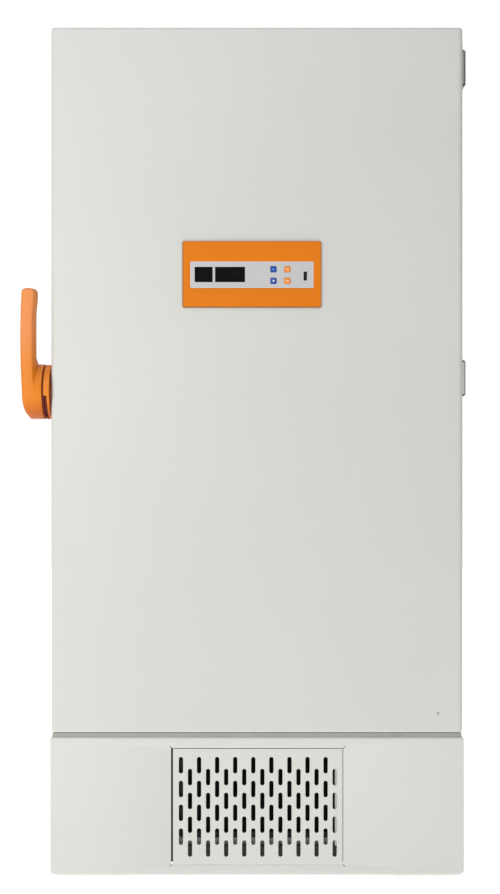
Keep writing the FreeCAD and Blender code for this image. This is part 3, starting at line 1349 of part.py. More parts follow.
def heat_exchanger():
    """Foam-jacketed cascade exchanger that stands on the base pan."""
    half = EXCHANGER_SIDE / 2
    return rounded_box(EXCHANGER_X - half, EXCHANGER_X + half, EXCHANGER_Y - half,
                       EXCHANGER_Y + half, PAN_FLOOR, PAN_FLOOR + EXCHANGER_HEIGHT,
                       EXCHANGER_ROUND, 2)


def oil_separator():
    """Upright pressure vessel with rounded ends on a foot disc."""
    z = PAN_FLOOR
    can = rod(SEPARATOR_R, SEPARATOR_HEIGHT,
              (SEPARATOR_X, SEPARATOR_Y, z + SEPARATOR_FOOT), (0, 0, 1))
    rims = [edge for edge in can.Edges if edge.BoundBox.ZLength < 0.01]
    can = can.makeFillet(SEPARATOR_ROUND, rims)
    foot = rod(SEPARATOR_FOOT_R, 2 * SEPARATOR_FOOT, (SEPARATOR_X, SEPARATOR_Y, z), (0, 0, 1))
    return joined(can, foot)


def pipe_runs():
    """Corner points of the copper lines in the machine compartment."""
    can_top = PAN_FLOOR + PAN_SHEET + COMPRESSOR_HEIGHT
    side_z = (PAN_FLOOR + can_top) / 2
    gap = TOUCH
    inner_x = COMPRESSOR_X - COMPRESSOR_R
    sep_x = SEPARATOR_X + SEPARATOR_R
    top_z = PAN_FLOOR + SEPARATOR_FOOT + SEPARATOR_HEIGHT
    head_y = CONDENSER_Y + CONDENSER_HEADER_R
    exchanger_rear = EXCHANGER_Y + EXCHANGER_SIDE / 2
    lift = (SHELL_LOW - top_z) * 0.5
    turn_y = SHROUD_BACK + SHROUD_COLLAR + MOTOR_LENGTH + PIPE_BEHIND
    lane = SHROUD_HALF + PIPE_LANE_OUT
    turn_z = side_z + PIPE_INLET_UP
    low_z = PAN_TOP + PIPE_LOW
    back_z = side_z + PIPE_SUCTION_UP
    front_y = COMPRESSOR_Y - COMPRESSOR_R
    return [
        [(-inner_x + gap, COMPRESSOR_Y, side_z), (-SEPARATOR_X - SEPARATOR_R - gap, COMPRESSOR_Y,
                                                  side_z)],
        [(SEPARATOR_X, SEPARATOR_Y, top_z + gap), (SEPARATOR_X, SEPARATOR_Y, top_z + lift),
         (SEPARATOR_X, turn_y, top_z + lift), (-lane, turn_y, top_z + lift),
         (-lane, head_y + PIPE_HEAD_BACK, top_z + lift), (-lane, head_y + PIPE_HEAD_BACK, turn_z),
         (-lane, CONDENSER_Y, turn_z),
         (-CONDENSER_HALF - CONDENSER_HEADER_R - gap, CONDENSER_Y, turn_z)],
        [(CONDENSER_HALF + CONDENSER_HEADER_R + gap, CONDENSER_Y, low_z),
         (EXCHANGER_X, CONDENSER_Y, low_z),
         (EXCHANGER_X, EXCHANGER_Y - EXCHANGER_SIDE / 2 - gap, low_z)],
        [(EXCHANGER_X, exchanger_rear + gap, back_z),
         (EXCHANGER_X, front_y - PIPE_BEHIND, back_z),
         (COMPRESSOR_X, front_y - PIPE_BEHIND, back_z),
         (COMPRESSOR_X, front_y - gap, back_z)],
    ]


def refrigerant_pipes():
    """Copper lines and the in-line filter drier."""
    solids = []
    for points in pipe_runs():
        if len(points) == 2:
            start, end = V(*points[0]), V(*points[1])
            solids.append(Part.makeCylinder(PIPE_R, (end - start).Length, start, end - start))
        else:
            solids.append(tube_along(points, PIPE_R, PIPE_BEND))
    x, y, z = pipe_runs()[2][1]
    middle = (y + EXCHANGER_Y - EXCHANGER_SIDE / 2) / 2
    shell = rod(DRIER_R, DRIER_LENGTH, (x, middle - DRIER_LENGTH / 2, z), (0, 1, 0))
    rims = [edge for edge in shell.Edges if edge.BoundBox.YLength < 0.01]
    solids[2] = joined(solids[2], shell.makeFillet(DRIER_ROUND, rims))
    return Part.makeCompound(solids)


def electrical_box():
    """Closed steel box for the power electronics, with a lid plate."""
    x = BOX_WIDTH / 2
    y = BOX_DEPTH / 2
    z0 = PAN_FLOOR
    body = rounded_box(BOX_X - x, BOX_X + x, BOX_Y - y, BOX_Y + y, z0, z0 + BOX_HEIGHT,
                       BOX_CORNER, 2)
    lid = box(BOX_X + x, BOX_X + x + BOX_COVER, BOX_Y - y + BOX_LID_IN, BOX_Y + y - BOX_LID_IN,
              z0 + BOX_LID_IN, z0 + BOX_HEIGHT - BOX_LID_IN)
    return joined(body, lid)


def every_piece():
    """All pieces, by node name."""
    lower_span, upper_span = inner_door_spans()
    pieces = {
        "base_frame": base_frame(),
        "left_side_panel": side_panel(-1),
        "right_side_panel": side_panel(1),
        "top_panel": top_panel(),
        "rear_panel": rear_panel(),
        "rear_service_cover": rear_service_cover(),
        "machine_deck": machine_deck(),
        "cabinet_insulation": insulation_slabs(),
        "inner_liner": inner_liner(),
        "breaker_strips": breaker_strips(),
        "inner_door_frame": inner_door_frame(),
        "shelf_supports": shelf_supports(),
        "shelves": shelves(),
        "evaporator_coil": evaporator_coil(),
        "temperature_probe": temperature_probe(),
        "access_port": access_port(),
        "hinge_brackets": Part.makeCompound([hinge_bracket(z) for z in HINGE_HEIGHTS]),
        "hinge_covers": Part.makeCompound([hinge_cover(z) for z in HINGE_HEIGHTS]),
        "latch_keeper": latch_keeper(),
        "front_lower_panel": front_lower_panel(),
        "air_filter": air_filter(),
        "condenser_coil": condenser_coil(),
        "fan_shroud": fan_shroud(),
        "fan_motor": fan_motor(),
        "compressors": compressors(),
        "heat_exchanger": heat_exchanger(),
        "oil_separator": oil_separator(),
        "refrigerant_pipes": refrigerant_pipes(),
        "electrical_box": electrical_box(),
        "power_inlet": power_inlet(),
        "rear_caster_forks": Part.makeCompound(
            [caster_fork(side * CASTER_X, CASTER_Y_REAR) for side in (-1, 1)]
            + [caster_plate(side * CASTER_X, y) for side in (-1, 1)
               for y in (CASTER_Y_FRONT, CASTER_Y_REAR)]),
        "door_skin": door_skin(),
        "door_insulation": door_insulation(),
        "door_inner_panel": door_inner_panel(),
        "door_gasket": door_gasket(),
        "door_hinge_leaves": Part.makeCompound([hinge_leaf(z) for z in HINGE_HEIGHTS]),
        "control_bezel": control_bezel(),
        "control_membrane": control_membrane(),
        "display_windows": display_windows(),
        "control_board": control_board(),
        "handle_base": handle_base(),
        "handle_lever": handle_lever(),
        "latch_hook": latch_hook(),
        "lock_cylinder": lock_cylinder(),
        "grille_hatch": grille_hatch(),
        "fan_blade": fan_blade(),
        "inner_door_upper": inner_door(upper_span),
        "inner_door_lower": inner_door(lower_span),
    }
    for name, (x, z) in button_places().items():
        pieces[name] = button(x, z)
    for word, side in (("left", -1), ("right", 1)):
        x = side * CASTER_X
        pieces["levelling_foot_" + word] = levelling_foot(side)
        pieces["caster_fork_front_" + word] = caster_fork(x, CASTER_Y_FRONT)
        pieces["caster_wheel_front_" + word] = caster_wheel(x, CASTER_Y_FRONT)
        pieces["caster_wheel_rear_" + word] = caster_wheel(x, CASTER_Y_REAR)
    return pieces


def origin_shift():
    """Move that puts the origin under the middle of the whole object's box."""
    left = HUB_LEFT - LOCK_PROUD
    right = HALF + COVER_PROUD
    front = PANEL_FRONT - BUTTON_PROUD
    rear = DEPTH + max(PLUG_HEAD, SHEET + INLET_WALL)
    return V(-(left + right) / 2, -(front + rear) / 2, 0)


def write_parts(pieces):
    """One STEP file for each node."""
    os.makedirs("parts", exist_ok=True)
    shift = origin_shift()
    for name, shape in pieces.items():
        placed = shape.copy()
        placed.translate(shift)
        placed.exportStep("parts/" + name + ".step")


PIECES = every_piece()
write_parts(PIECES)
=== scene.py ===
import functools
import json
import math

import bmesh
import bpy
import numpy as np
from bpy.props import FloatProperty, FloatVectorProperty, IntProperty, PointerProperty
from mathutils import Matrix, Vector


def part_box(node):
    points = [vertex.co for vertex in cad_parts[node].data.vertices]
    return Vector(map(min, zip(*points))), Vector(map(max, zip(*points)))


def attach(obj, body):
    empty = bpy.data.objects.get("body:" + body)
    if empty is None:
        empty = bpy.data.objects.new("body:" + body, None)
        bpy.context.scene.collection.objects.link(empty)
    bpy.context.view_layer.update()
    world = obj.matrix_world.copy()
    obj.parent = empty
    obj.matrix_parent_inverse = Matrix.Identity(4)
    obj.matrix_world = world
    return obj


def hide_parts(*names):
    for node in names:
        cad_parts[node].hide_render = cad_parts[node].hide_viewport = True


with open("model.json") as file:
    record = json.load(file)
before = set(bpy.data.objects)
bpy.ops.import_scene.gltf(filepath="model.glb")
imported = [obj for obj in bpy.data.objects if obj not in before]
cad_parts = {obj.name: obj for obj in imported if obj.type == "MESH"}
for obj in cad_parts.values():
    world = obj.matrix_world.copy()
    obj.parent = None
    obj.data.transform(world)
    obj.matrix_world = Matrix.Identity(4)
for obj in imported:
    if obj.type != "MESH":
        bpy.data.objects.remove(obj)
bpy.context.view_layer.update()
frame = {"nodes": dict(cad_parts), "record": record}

bl_info = {
    "name": "Upright laboratory freezer",
    "version": (1, 0, 0),
    "blender": (4, 5, 0),
    "location": "3D View > Sidebar > Freezer",
    "description": "Builds the visible pieces of an upright laboratory freezer on its packed frame",
    "category": "Object",
}

MM = 0.001


# Places

@functools.lru_cache(None)
def span(node):
    """Lowest and highest corner of a node of the frame, as arrays."""
    lo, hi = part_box(node)
    return np.array(lo), np.array(hi)


def front_view(node):
    """Corners of a node, and its middle and half size in (x, z), as seen from the front."""
    lo, hi = span(node)
    return lo, hi, (lo[[0, 2]] + hi[[0, 2]]) / 2, (hi[[0, 2]] - lo[[0, 2]]) / 2


def body_of(node):
    """Name of the body that carries a node."""
    for body, members in frame["record"]["behaviour"]["bodies"].items():
        if node in members:
            return body
    raise KeyError(node)


# Surfaces

def grid_faces(rows, columns, ring_rows=False, ring_columns=False):
    """Quads of a grid of points, either direction closed on itself where asked."""
    row = np.arange(rows if ring_rows else rows - 1)[:, None]
    column = np.arange(columns if ring_columns else columns - 1)[None, :]
    next_row = (row + 1) % rows * columns
    next_column = (column + 1) % columns
    row = row * columns
    return np.stack([row + column, row + next_column, next_row + next_column,
                     next_row + column], -1).reshape(-1, 4)


class Shell:
    """Points and faces of one piece, gathered surface by surface."""

    def __init__(self):
        self.points = []
        self.faces = []
        self.count = 0

    def add(self, points, faces):
        """Adds points with faces that count from this surface's first point."""
        points = np.asarray(points, float).reshape(-1, 3)
        self.faces += (np.asarray(faces) + self.count).tolist()
        self.points.append(points)
        self.count += len(points)
        return self

    def grid(self, points, ring_rows=False, ring_columns=False):
        """Adds a grid of points as quads."""
        rows, columns = points.shape[:2]
        return self.add(points, grid_faces(rows, columns, ring_rows, ring_columns))

    def loft(self, rings, capped=True):
        """Adds closed rings as a skin, with a flat cap on the first and the last."""
        rings = np.asarray(rings)
        start = self.count
        self.grid(rings, ring_columns=True)
        if capped:
            size = rings.shape[1]
            last = start + (len(rings) - 1) * size
            self.faces.append(list(range(start, start + size)))
            self.faces.append(list(range(last, last + size)))
        return self

    def copies(self, points, faces, places):
        """Adds the same surface at each place: point = place + surface point."""
        points = np.asarray(points, float).reshape(-1, 3)
        places = np.asarray(places, float).reshape(-1, 3)
        everywhere = places[:, None, :] + points[None, :, :]
        steps = np.arange(len(places))[:, None, None] * len(points)
        return self.add(everywhere, (np.asarray(faces)[None] + steps).reshape(-1, len(faces[0])))


def rounded_ring(half_u, half_v, corner, count=7):
    """Rounded rectangle about zero and its outward normals.

    Point = corner centre + corner radius * (cos a, sin a), normal = (cos a, sin a);
    the corner radius is one number or one for each quarter, from +u +v round to +u -v.
    """
    turn = np.linspace(0, np.pi / 2, count)
    angle = (np.arange(4)[:, None] * np.pi / 2 + turn).ravel()
    normal = np.stack([np.cos(angle), np.sin(angle)], -1)
    signs = np.repeat(np.array([[1, 1], [-1, 1], [-1, -1], [1, -1]]), count, 0)
    radius = np.repeat(np.broadcast_to(corner, 4), count)[:, None]
    return signs * (np.array([half_u, half_v]) - radius) + radius * normal, normal


def at_depth(ring, y, centre=(0, 0)):
    """A ring of (x, z) points as 3-D points at a depth y."""
    depth = np.broadcast_to(y, len(ring))
    return np.stack([ring[:, 0] + centre[0], depth, ring[:, 1] + centre[1]], -1)


def rolled_edge(ring, normal, rounding, front, centre=(0, 0), steps=7):
    """Rings of an edge that rolls over from the side into the front face.

    For a turn t of 0 to 90 degrees: (x, z) = ring - normal * r * (1 - cos t) and
    y = front + r' * (1 - sin t); r is the rounding along x and z, and r' its
    value in the direction of the normal.
    """
    rounding = np.broadcast_to(rounding, 2)
    turn = np.linspace(0, np.pi / 2, steps)[:, None, None]
    flat = ring - normal * rounding * (1 - np.cos(turn))
    reach = (normal ** 2 * rounding).sum(-1)
    depth = front + reach * (1 - np.sin(turn[..., 0]))
    return np.stack([flat[..., 0] + centre[0], depth, flat[..., 1] + centre[1]], -1)


def revolved(profile, centre, axis, steps=32):
    """Profile of (radius, distance) pairs turned round an axis 0, 1 or 2.

    Point = centre + distance * axis + radius * (cos a * u + sin a * v).
    """
    profile = np.asarray(profile, float)
    along, u, v = np.roll(np.eye(3), -axis, 0)
    angle = np.linspace(0, 2 * np.pi, steps, endpoint=False)
    round_ = np.cos(angle)[:, None] * u + np.sin(angle)[:, None] * v
    return (np.asarray(centre) + profile[:, 1, None, None] * along
            + profile[:, 0, None, None] * round_[None])


def carried(profile, ring, normal, centre):
    """Closed profile of (inward, depth) pairs carried round a ring of the XZ plane.

    (x, z) = ring - normal * inward and y = depth; the result is a closed tube.
    """
    profile = np.asarray(profile, float)
    flat = ring[:, None, :] - normal[:, None, :] * profile[None, :, :1]
    depth = np.broadcast_to(profile[None, :, 1], flat.shape[:2])
    return np.stack([flat[..., 0] + centre[0], depth, flat[..., 1] + centre[1]], -1)


def bar(section, ends, axis):
    """Rings of a straight bar: the same flat section at each place along axis 0 or 2."""
    return np.stack([np.insert(section, axis, place, 1) for place in ends])


def strip_along(points, half_width, low, high):
    """Raised strip that follows a polyline of (x, z) points: a square tube.

    Side points = point +- half width * the mean normal of the two runs that meet there.
    """
    points = np.asarray(points, float)
    run = np.diff(points, axis=0)
    run /= np.linalg.norm(run, axis=1)[:, None]
    before = np.vstack([run[:1], run])
    after = np.vstack([run, run[-1:]])
    mean = before + after
    mean /= np.linalg.norm(mean, axis=1)[:, None]
    side = np.stack([-mean[:, 1], mean[:, 0]], -1) / (mean * after).sum(-1)[:, None]
    left, right = points + side * half_width, points - side * half_width
    rows = [at_depth(left, low), at_depth(left, high), at_depth(right, high), at_depth(right, low)]
    return np.stack(rows, 1)


# Objects

MERGE = 2e-6
SLIVER = 1e-7
FLAT = 0.6
SMOOTH = 32.0
SHARP_EDGE = 35.0


def as_piece(name, shell, look, body, hides=(), smooth=SMOOTH, closed=True):
    """Object at the origin from a shell: merged, turned outwards, smooth below an angle."""
    mesh = bpy.data.meshes.new(name)
    mesh.from_pydata(np.concatenate(shell.points), [], shell.faces)
    work = bmesh.new()
    work.from_mesh(mesh)
    bmesh.ops.remove_doubles(work, verts=work.verts, dist=MERGE)
    bmesh.ops.dissolve_degenerate(work, edges=work.edges, dist=SLIVER)
    if closed:
        bmesh.ops.recalc_face_normals(work, faces=work.faces)
    work.to_mesh(mesh)
    work.free()
    return finished(name, mesh, look, body, hides, smooth)


def finished(name, mesh, look, body, hides, smooth=SMOOTH):
    """Object of a finished mesh, riding on its body."""
    mesh.polygons.foreach_set("use_smooth", np.ones(len(mesh.polygons), bool))
    mesh.set_sharp_from_angle(angle=math.radians(smooth))
    mesh.materials.clear()
    mesh.materials.append(finish(look))
    mesh.update()
    piece = bpy.data.objects.new(name, mesh)
    bpy.context.scene.collection.objects.link(piece)
    if hides:
        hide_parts(*hides)
    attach(piece, body)
    return piece


def thickened(piece, thickness):
    """Gives an open sheet its thickness."""
    piece.modifiers.new("thickness", "SOLIDIFY").thickness = thickness


def slot_of(node):
    """The record's slot of a node's object, which names its material."""
    return node.data.materials[0].name.split(".")[0]


def eased(node, width, look=None):
    """Copy of a node of the frame, merged, with its sharp edges eased."""
    source = frame["nodes"][node]
    slot = slot_of(source)
    work = bmesh.new()
    work.from_mesh(source.data)
    bmesh.ops.remove_doubles(work, verts=work.verts, dist=MERGE)
    bmesh.ops.dissolve_limit(work, angle_limit=math.radians(FLAT), verts=work.verts,
                             edges=work.edges)
    mesh = bpy.data.meshes.new(node + "_eased")
    work.to_mesh(mesh)
    work.free()
    piece = finished(node + "_eased", mesh, look or slot, body_of(node), (node,))
    bevel = piece.modifiers.new("eased edges", "BEVEL")
    bevel.width = width
    bevel.segments = 2
    bevel.limit_method = "ANGLE"
    bevel.angle_limit = math.radians(SHARP_EDGE)
    piece.modifiers.new("face normals", "WEIGHTED_NORMAL").keep_sharp = True


# Finishes

class Wire:
    """An output socket; arithmetic on it adds Math nodes to its tree."""

    def __init__(self, nodes, socket):
        self.nodes = nodes
        self.socket = socket

    def __add__(self, other):
        return self.nodes.maths("ADD", self, other)

    def __sub__(self, other):
        return self.nodes.maths("SUBTRACT", self, other)

    def __rsub__(self, other):
        return self.nodes.maths("SUBTRACT", other, self)

    def __mul__(self, other):
        return self.nodes.maths("MULTIPLY", self, other)

    def __or__(self, other):
        return self.nodes.maths("MAXIMUM", self, other)

    def __and__(self, other):
        return self.nodes.maths("MINIMUM", self, other)

    def __abs__(self):
        return self.nodes.maths("ABSOLUTE", self)

    __radd__ = __add__
    __rmul__ = __mul__


class Nodes:
    """A node tree being filled, and the coordinates that its patterns follow."""

    def __init__(self, tree, coordinates):
        self.tree = tree
        self.place = self.add("TexCoord", {}, {}, coordinates)

    def add(self, kind, settings, sockets, output=0):
        """Any node: its type, its settings, its sockets' values or wires, and one output."""
        node = self.tree.nodes.new("ShaderNode" + kind)
        for key, value in settings.items():
            setattr(node, key, value)
        for key, value in sockets.items():
            self.feed(node.inputs[key], value)
        return Wire(self, node.outputs[output])

    def feed(self, socket, value):
        """A wire or a constant into a socket."""
        if isinstance(value, Wire):
            self.tree.links.new(value.socket, socket)
        else:
            socket.default_value = value

    def maths(self, operation, *values):
        """A Math node on wires and numbers."""
        return self.add("Math", {"operation": operation}, dict(enumerate(values)))

    def smooth(self, value, low, high):
        """0 below low, 1 above high, and a smooth step between."""
        return self.add("MapRange", {"interpolation_type": "SMOOTHSTEP"},
                        {"Value": value, "From Min": low, "From Max": high})

    def axis(self, name, vector=None):
        """One coordinate of the place, or of another vector."""
        return self.add("SeparateXYZ", {}, {0: vector or self.place}, name)


class Finish(Nodes):
    """A material being made: its node tree and its shader."""

    def __init__(self, name, **constants):
        self.material = bpy.data.materials.new(name)
        self.material.use_nodes = True
        super().__init__(self.material.node_tree, "Object")
        self.shader = self.tree.nodes["Principled BSDF"]
        for socket, value in constants.items():
            self.shader.inputs[socket.replace("_", " ")].default_value = value

    def stretch(self, x, y, z):
        """Object coordinates multiplied by a factor for each axis."""
        return self.add("VectorMath", {"operation": "MULTIPLY"}, {0: self.place, 1: (x, y, z)})

    def noise(self, scale, detail=2.0, roughness=0.5, vector=None):
        """Cloudy noise, about 0 to 1."""
        return self.add("TexNoise", {}, {"Vector": vector or self.place, "Scale": scale,
                                         "Detail": detail, "Roughness": roughness})

    def cells(self, scale, feature="F1", output="Distance"):
        """Distance or colour of scattered cells."""
        return self.add("TexVoronoi", {"feature": feature},
                        {"Vector": self.place, "Scale": scale}, output)

    def waves(self, scale, direction):
        """Straight bands of 0 to 1 across an axis."""
        return self.add("TexWave", {"bands_direction": direction},
                        {"Vector": self.place, "Scale": scale}, "Fac")

    def mix(self, factor, first, second):
        """Colour that goes from the first to the second as the factor goes from 0 to 1."""
        return self.add("Mix", {"data_type": "RGBA"}, {0: factor, 6: first, 7: second}, 2)

    def colour(self, value):
        """Sets the base colour."""
        self.feed(self.shader.inputs["Base Color"], value)

    def rough(self, value):
        """Sets the roughness."""
        self.feed(self.shader.inputs["Roughness"], value)

    def metal(self, value):
        """Sets how far the surface is bare metal."""
        self.feed(self.shader.inputs["Metallic"], value)

    def bump(self, height, strength, distance):
        """Relief of the surface; it comes last and hands the finish back."""
        normal = self.add("Bump", {}, {"Strength": strength, "Distance": distance,
                                       "Height": height})
        self.feed(self.shader.inputs["Normal"], normal)
        return self


def srgb(red, green, blue):
    """Linear colour, with alpha 1, of a display colour given as 0 to 255."""
    value = np.array([red, green, blue]) / 255.0
    linear = np.where(value <= 0.04045, value / 12.92, ((value + 0.055) / 1.055) ** 2.4)
    return (*linear.tolist(), 1.0)


def shade(colour, factor):
    """A colour times a factor, kept within 0 to 1."""
    return (*[min(1.0, channel * factor) for channel in tuple(colour)[:3]], 1.0)


def powder_coat(name, colour, rough=0.40, peel=0.10):
    """Powder coat: an orange-peel skin, faint clouding and fine flecks."""
    f = Finish(name, Specular_IOR_Level=0.42)
    cloud = f.noise(1.7, 3.0)
    fleck = f.noise(1300.0, 1.0)
    skin = f.noise(330.0, 2.0, 0.45)
    tone = f.smooth(cloud, 0.30, 0.70)
    plain = f.mix(tone, shade(colour, 0.975), shade(colour, 1.012))
    f.colour(f.mix(f.smooth(fleck, 0.62, 0.75) * 0.35, plain, shade(colour, 0.90)))
    f.rough(rough - 0.04 + 0.06 * cloud + 0.05 * fleck)
    return f.bump(skin + 0.30 * fleck, peel, 0.0005)


def galvanised(name):
    """Zinc-coated sheet: crystals of different grey, each with its own gloss."""
    f = Finish(name, Metallic=0.85)
    grain = f.axis("X", f.cells(70.0, output="Color"))
    rim = f.cells(70.0, "DISTANCE_TO_EDGE")
    haze = f.noise(9.0, 4.0)
    f.colour(f.mix(grain, srgb(150, 154, 158), srgb(196, 200, 203)))
    f.rough(0.34 + 0.18 * grain + 0.12 * haze)
    return f.bump(f.smooth(rim, 0.0, 0.06) + 0.4 * grain, 0.05, 0.0004)


def brushed(name, colour, along, rough=0.30):
    """Brushed sheet: long fine scratches along one axis, with soft smudges."""
    f = Finish(name, Metallic=0.95)
    factors = [900.0, 900.0, 900.0]
    factors[along] = 12.0
    hair = f.noise(1.0, 4.0, 0.65, f.stretch(*factors))
    smudge = f.noise(5.0, 3.0)
    f.colour(f.mix(hair, shade(colour, 0.88), shade(colour, 1.08)))
    f.rough(rough + 0.14 * hair + 0.10 * f.smooth(smudge, 0.45, 0.75))
    return f.bump(hair, 0.08, 0.0002)


def plated(name):
    """Zinc-plated steel: turning marks, faint bloom and a few dull spots."""
    f = Finish(name, Metallic=1.0)
    colour = (0.56, 0.56, 0.57, 1.0)
    bloom = f.noise(38.0, 4.0)
    spot = f.smooth(f.noise(210.0, 2.0), 0.60, 0.72)
    bloomed = f.mix(bloom, shade(colour, 0.90), (0.60, 0.57, 0.50, 1.0))
    f.colour(f.mix(spot * 0.5, bloomed, shade(colour, 0.55)))
    f.rough(0.24 + 0.16 * bloom + 0.20 * spot)
    return f.bump(f.noise(700.0, 2.0), 0.06, 0.0002)


def copper(name):
    """Drawn copper tube that has started to darken."""
    f = Finish(name, Metallic=1.0)
    age = f.smooth(f.noise(26.0, 4.0, 0.6), 0.40, 0.70)
    stain = f.smooth(f.noise(90.0, 3.0), 0.58, 0.75)
    bright = f.mix(age, (0.80, 0.40, 0.24, 1.0), (0.42, 0.20, 0.12, 1.0))
    f.colour(f.mix(stain * 0.6, bright, (0.20, 0.13, 0.09, 1.0)))
    f.rough(0.22 + 0.22 * age + 0.15 * stain)
    return f.bump(f.noise(600.0, 2.0), 0.05, 0.0002)


def rigid_foam(name):
    """Poured foam: cream skin, closed cells and flow marks."""
    f = Finish(name, Subsurface_Weight=0.05, Roughness=0.9)
    cell = f.cells(520.0)
    flow = f.noise(7.0, 5.0, 0.6)
    base = f.mix(flow, (0.70, 0.58, 0.33, 1.0), (0.86, 0.77, 0.55, 1.0))
    f.colour(f.mix(f.smooth(cell, 0.25, 0.75), (0.62, 0.50, 0.28, 1.0), base))
    f.rough(0.80 + 0.15 * flow)
    return f.bump(cell + 0.6 * flow, 0.35, 0.0010)


def moulded(name, colour, rough=0.45, grain=0.12, gloss=0.45, tint=0.06):
    """Moulded plastic: spark-eroded grain, slow tone drift, faint rub marks."""
    f = Finish(name, Specular_IOR_Level=gloss)
    drift = f.noise(11.0, 3.0)
    skin = f.cells(1100.0)
    rub = f.smooth(f.noise(60.0, 5.0, 0.7), 0.62, 0.80)
    base = f.mix(drift, shade(colour, 1.0 - tint), shade(colour, 1.0 + tint))
    f.colour(f.mix(rub * 0.25, base, shade(colour, 1.12)))
    f.rough(rough + 0.06 * skin - 0.08 * rub + 0.04 * drift)
    return f.bump(skin, grain, 0.00025)


def key_plate(name, colour):
    """Screen-printed plate: fine matt print, a lighter rim line that is a painted highlight along
    the edge, and a soft sheen.
    """
    f = Finish(name, Specular_IOR_Level=0.4)
    lo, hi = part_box("control_membrane")
    x, z = f.axis("X"), f.axis("Z")
    edge = ((x - lo[0]) & (hi[0] - x)) & ((z - lo[2]) & (hi[2] - z))
    # Painted highlight: the colour goes lighter in a thin line along the plate's edge.
    rim = 1 - f.smooth(edge, 0.0011, 0.0015)
    grain = f.noise(1500.0, 2.0)
    drift = f.noise(14.0, 2.0)
    base = f.mix(drift, shade(colour, 0.965), shade(colour, 1.035))
    f.colour(f.mix(rim, f.mix(grain * 0.10, base, shade(colour, 0.8)), shade(colour, 1.30)))
    f.rough(0.42 + 0.10 * grain)
    return f.bump(grain, 0.05, 0.0002)


def panel_moulding(name, colour):
    """Orange front plate: fine grain, and painted shade round the rim, a browner edge deepest at
    the left and below.
    """
    f = Finish(name, Specular_IOR_Level=0.22)
    lo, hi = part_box("control_bezel")
    x, z = f.axis("X"), f.axis("Z")
    # Painted shade: the edges brown towards the rim, most at the left and the bottom, as the shade
    # along the plate's edges.
    left = 1 - f.smooth(x - lo[0], 0.0016, 0.0042)
    low = 1 - f.smooth(z - lo[2], 0.0016, 0.0040)
    right = 1 - f.smooth(hi[0] - x, 0.0006, 0.0020)
    high = 1 - f.smooth(hi[2] - z, 0.0006, 0.0016)
    rim = (left | low) * 0.80 | (right | high) * 0.35
    drift = f.noise(9.0, 3.0)
    skin = f.cells(1100.0)
    base = f.mix(drift, shade(colour, 0.97), shade(colour, 1.03))
    # The dark brown mixed in here is the painted shade of the rim.
    f.colour(f.mix(rim, base, (0.26, 0.13, 0.03, 1.0)))
    f.rough(0.46 + 0.06 * skin + 0.04 * drift)
    return f.bump(skin, 0.06, 0.00025)


def display_glass(name):
    """Dark display window: near-black filter with a faint row of unlit segments."""
    f = Finish(name, IOR=1.45, Specular_IOR_Level=0.14)
    lo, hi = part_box("display_windows")
    middle = (lo[2] + hi[2]) / 2
    x, z = f.axis("X"), f.axis("Z") - middle
    column = f.maths("PINGPONG", x + 3.0, 0.0062)
    digit = f.smooth(column, 0.0006, 0.0012)
    row = f.smooth(abs(z), 0.0115, 0.0105)
    dust = f.noise(420.0, 3.0)
    unlit = digit * row * f.noise(70.0, 1.0)
    f.colour(f.mix(unlit * 0.5, (0.003, 0.002, 0.002, 1.0), (0.010, 0.008, 0.009, 1.0)))
    f.rough(0.16 + 0.10 * f.smooth(dust, 0.5, 0.8))
    return f.bump(f.noise(30.0, 1.0), 0.02, 0.0004)


def soft_seal(name, colour):
    """Flexible vinyl seal: matt, dusty in the folds, with fine extrusion lines."""
    f = Finish(name, Specular_IOR_Level=0.35)
    dust = f.noise(35.0, 4.0, 0.6)
    line = f.waves(420.0, "Y")
    f.colour(f.mix(dust, shade(colour, 0.80), shade(colour, 1.18)))
    f.rough(0.58 + 0.18 * dust)
    return f.bump(f.noise(260.0, 2.0) + 0.2 * line, 0.08, 0.0003)


def circuit_board(name):
    """Board with masked tracks and tinned pads; its socket shell is black."""
    f = Finish(name, Specular_IOR_Level=0.5)
    door_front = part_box("door_skin")[0][1]
    x, z = f.axis("X"), f.axis("Z")
    track = f.smooth(f.maths("PINGPONG", x + 3.0 + 0.004 * f.noise(60.0, 0.0), 0.0016),
                     0.0009, 0.0011)
    lane = f.smooth(f.noise(45.0, 1.0), 0.48, 0.52)
    pad = f.smooth(f.cells(240.0), 0.30, 0.22)
    mask = f.mix(track * lane, (0.010, 0.085, 0.030, 1.0), (0.020, 0.150, 0.055, 1.0))
    tinned = f.mix(pad, mask, (0.60, 0.60, 0.58, 1.0))
    shell = f.smooth(f.axis("Y"), door_front + 0.0035, door_front + 0.0030)
    f.colour(f.mix(shell, tinned, (0.012, 0.012, 0.013, 1.0)))
    f.rough(0.38 + 0.15 * shell + 0.10 * f.noise(300.0, 1.0))
    f.metal(pad * (1 - shell) * 0.8)
    return f.bump(track * lane + pad + 0.1 * z, 0.15, 0.0003)


def filter_mesh(name, colour):
    """Woven black filter cloth with lint caught in it."""
    f = Finish(name, Roughness=0.9, Specular_IOR_Level=0.25)
    warp = f.waves(260.0, "X")
    weft = f.waves(260.0, "Z")
    lint = f.smooth(f.noise(120.0, 5.0, 0.7), 0.55, 0.85)
    f.colour(f.mix(lint * 0.5, f.mix(warp * weft, shade(colour, 0.35), colour),
                   (0.22, 0.21, 0.20, 1.0)))
    f.rough(0.82 + 0.12 * lint)
    return f.bump(warp | weft, 0.45, 0.0006)


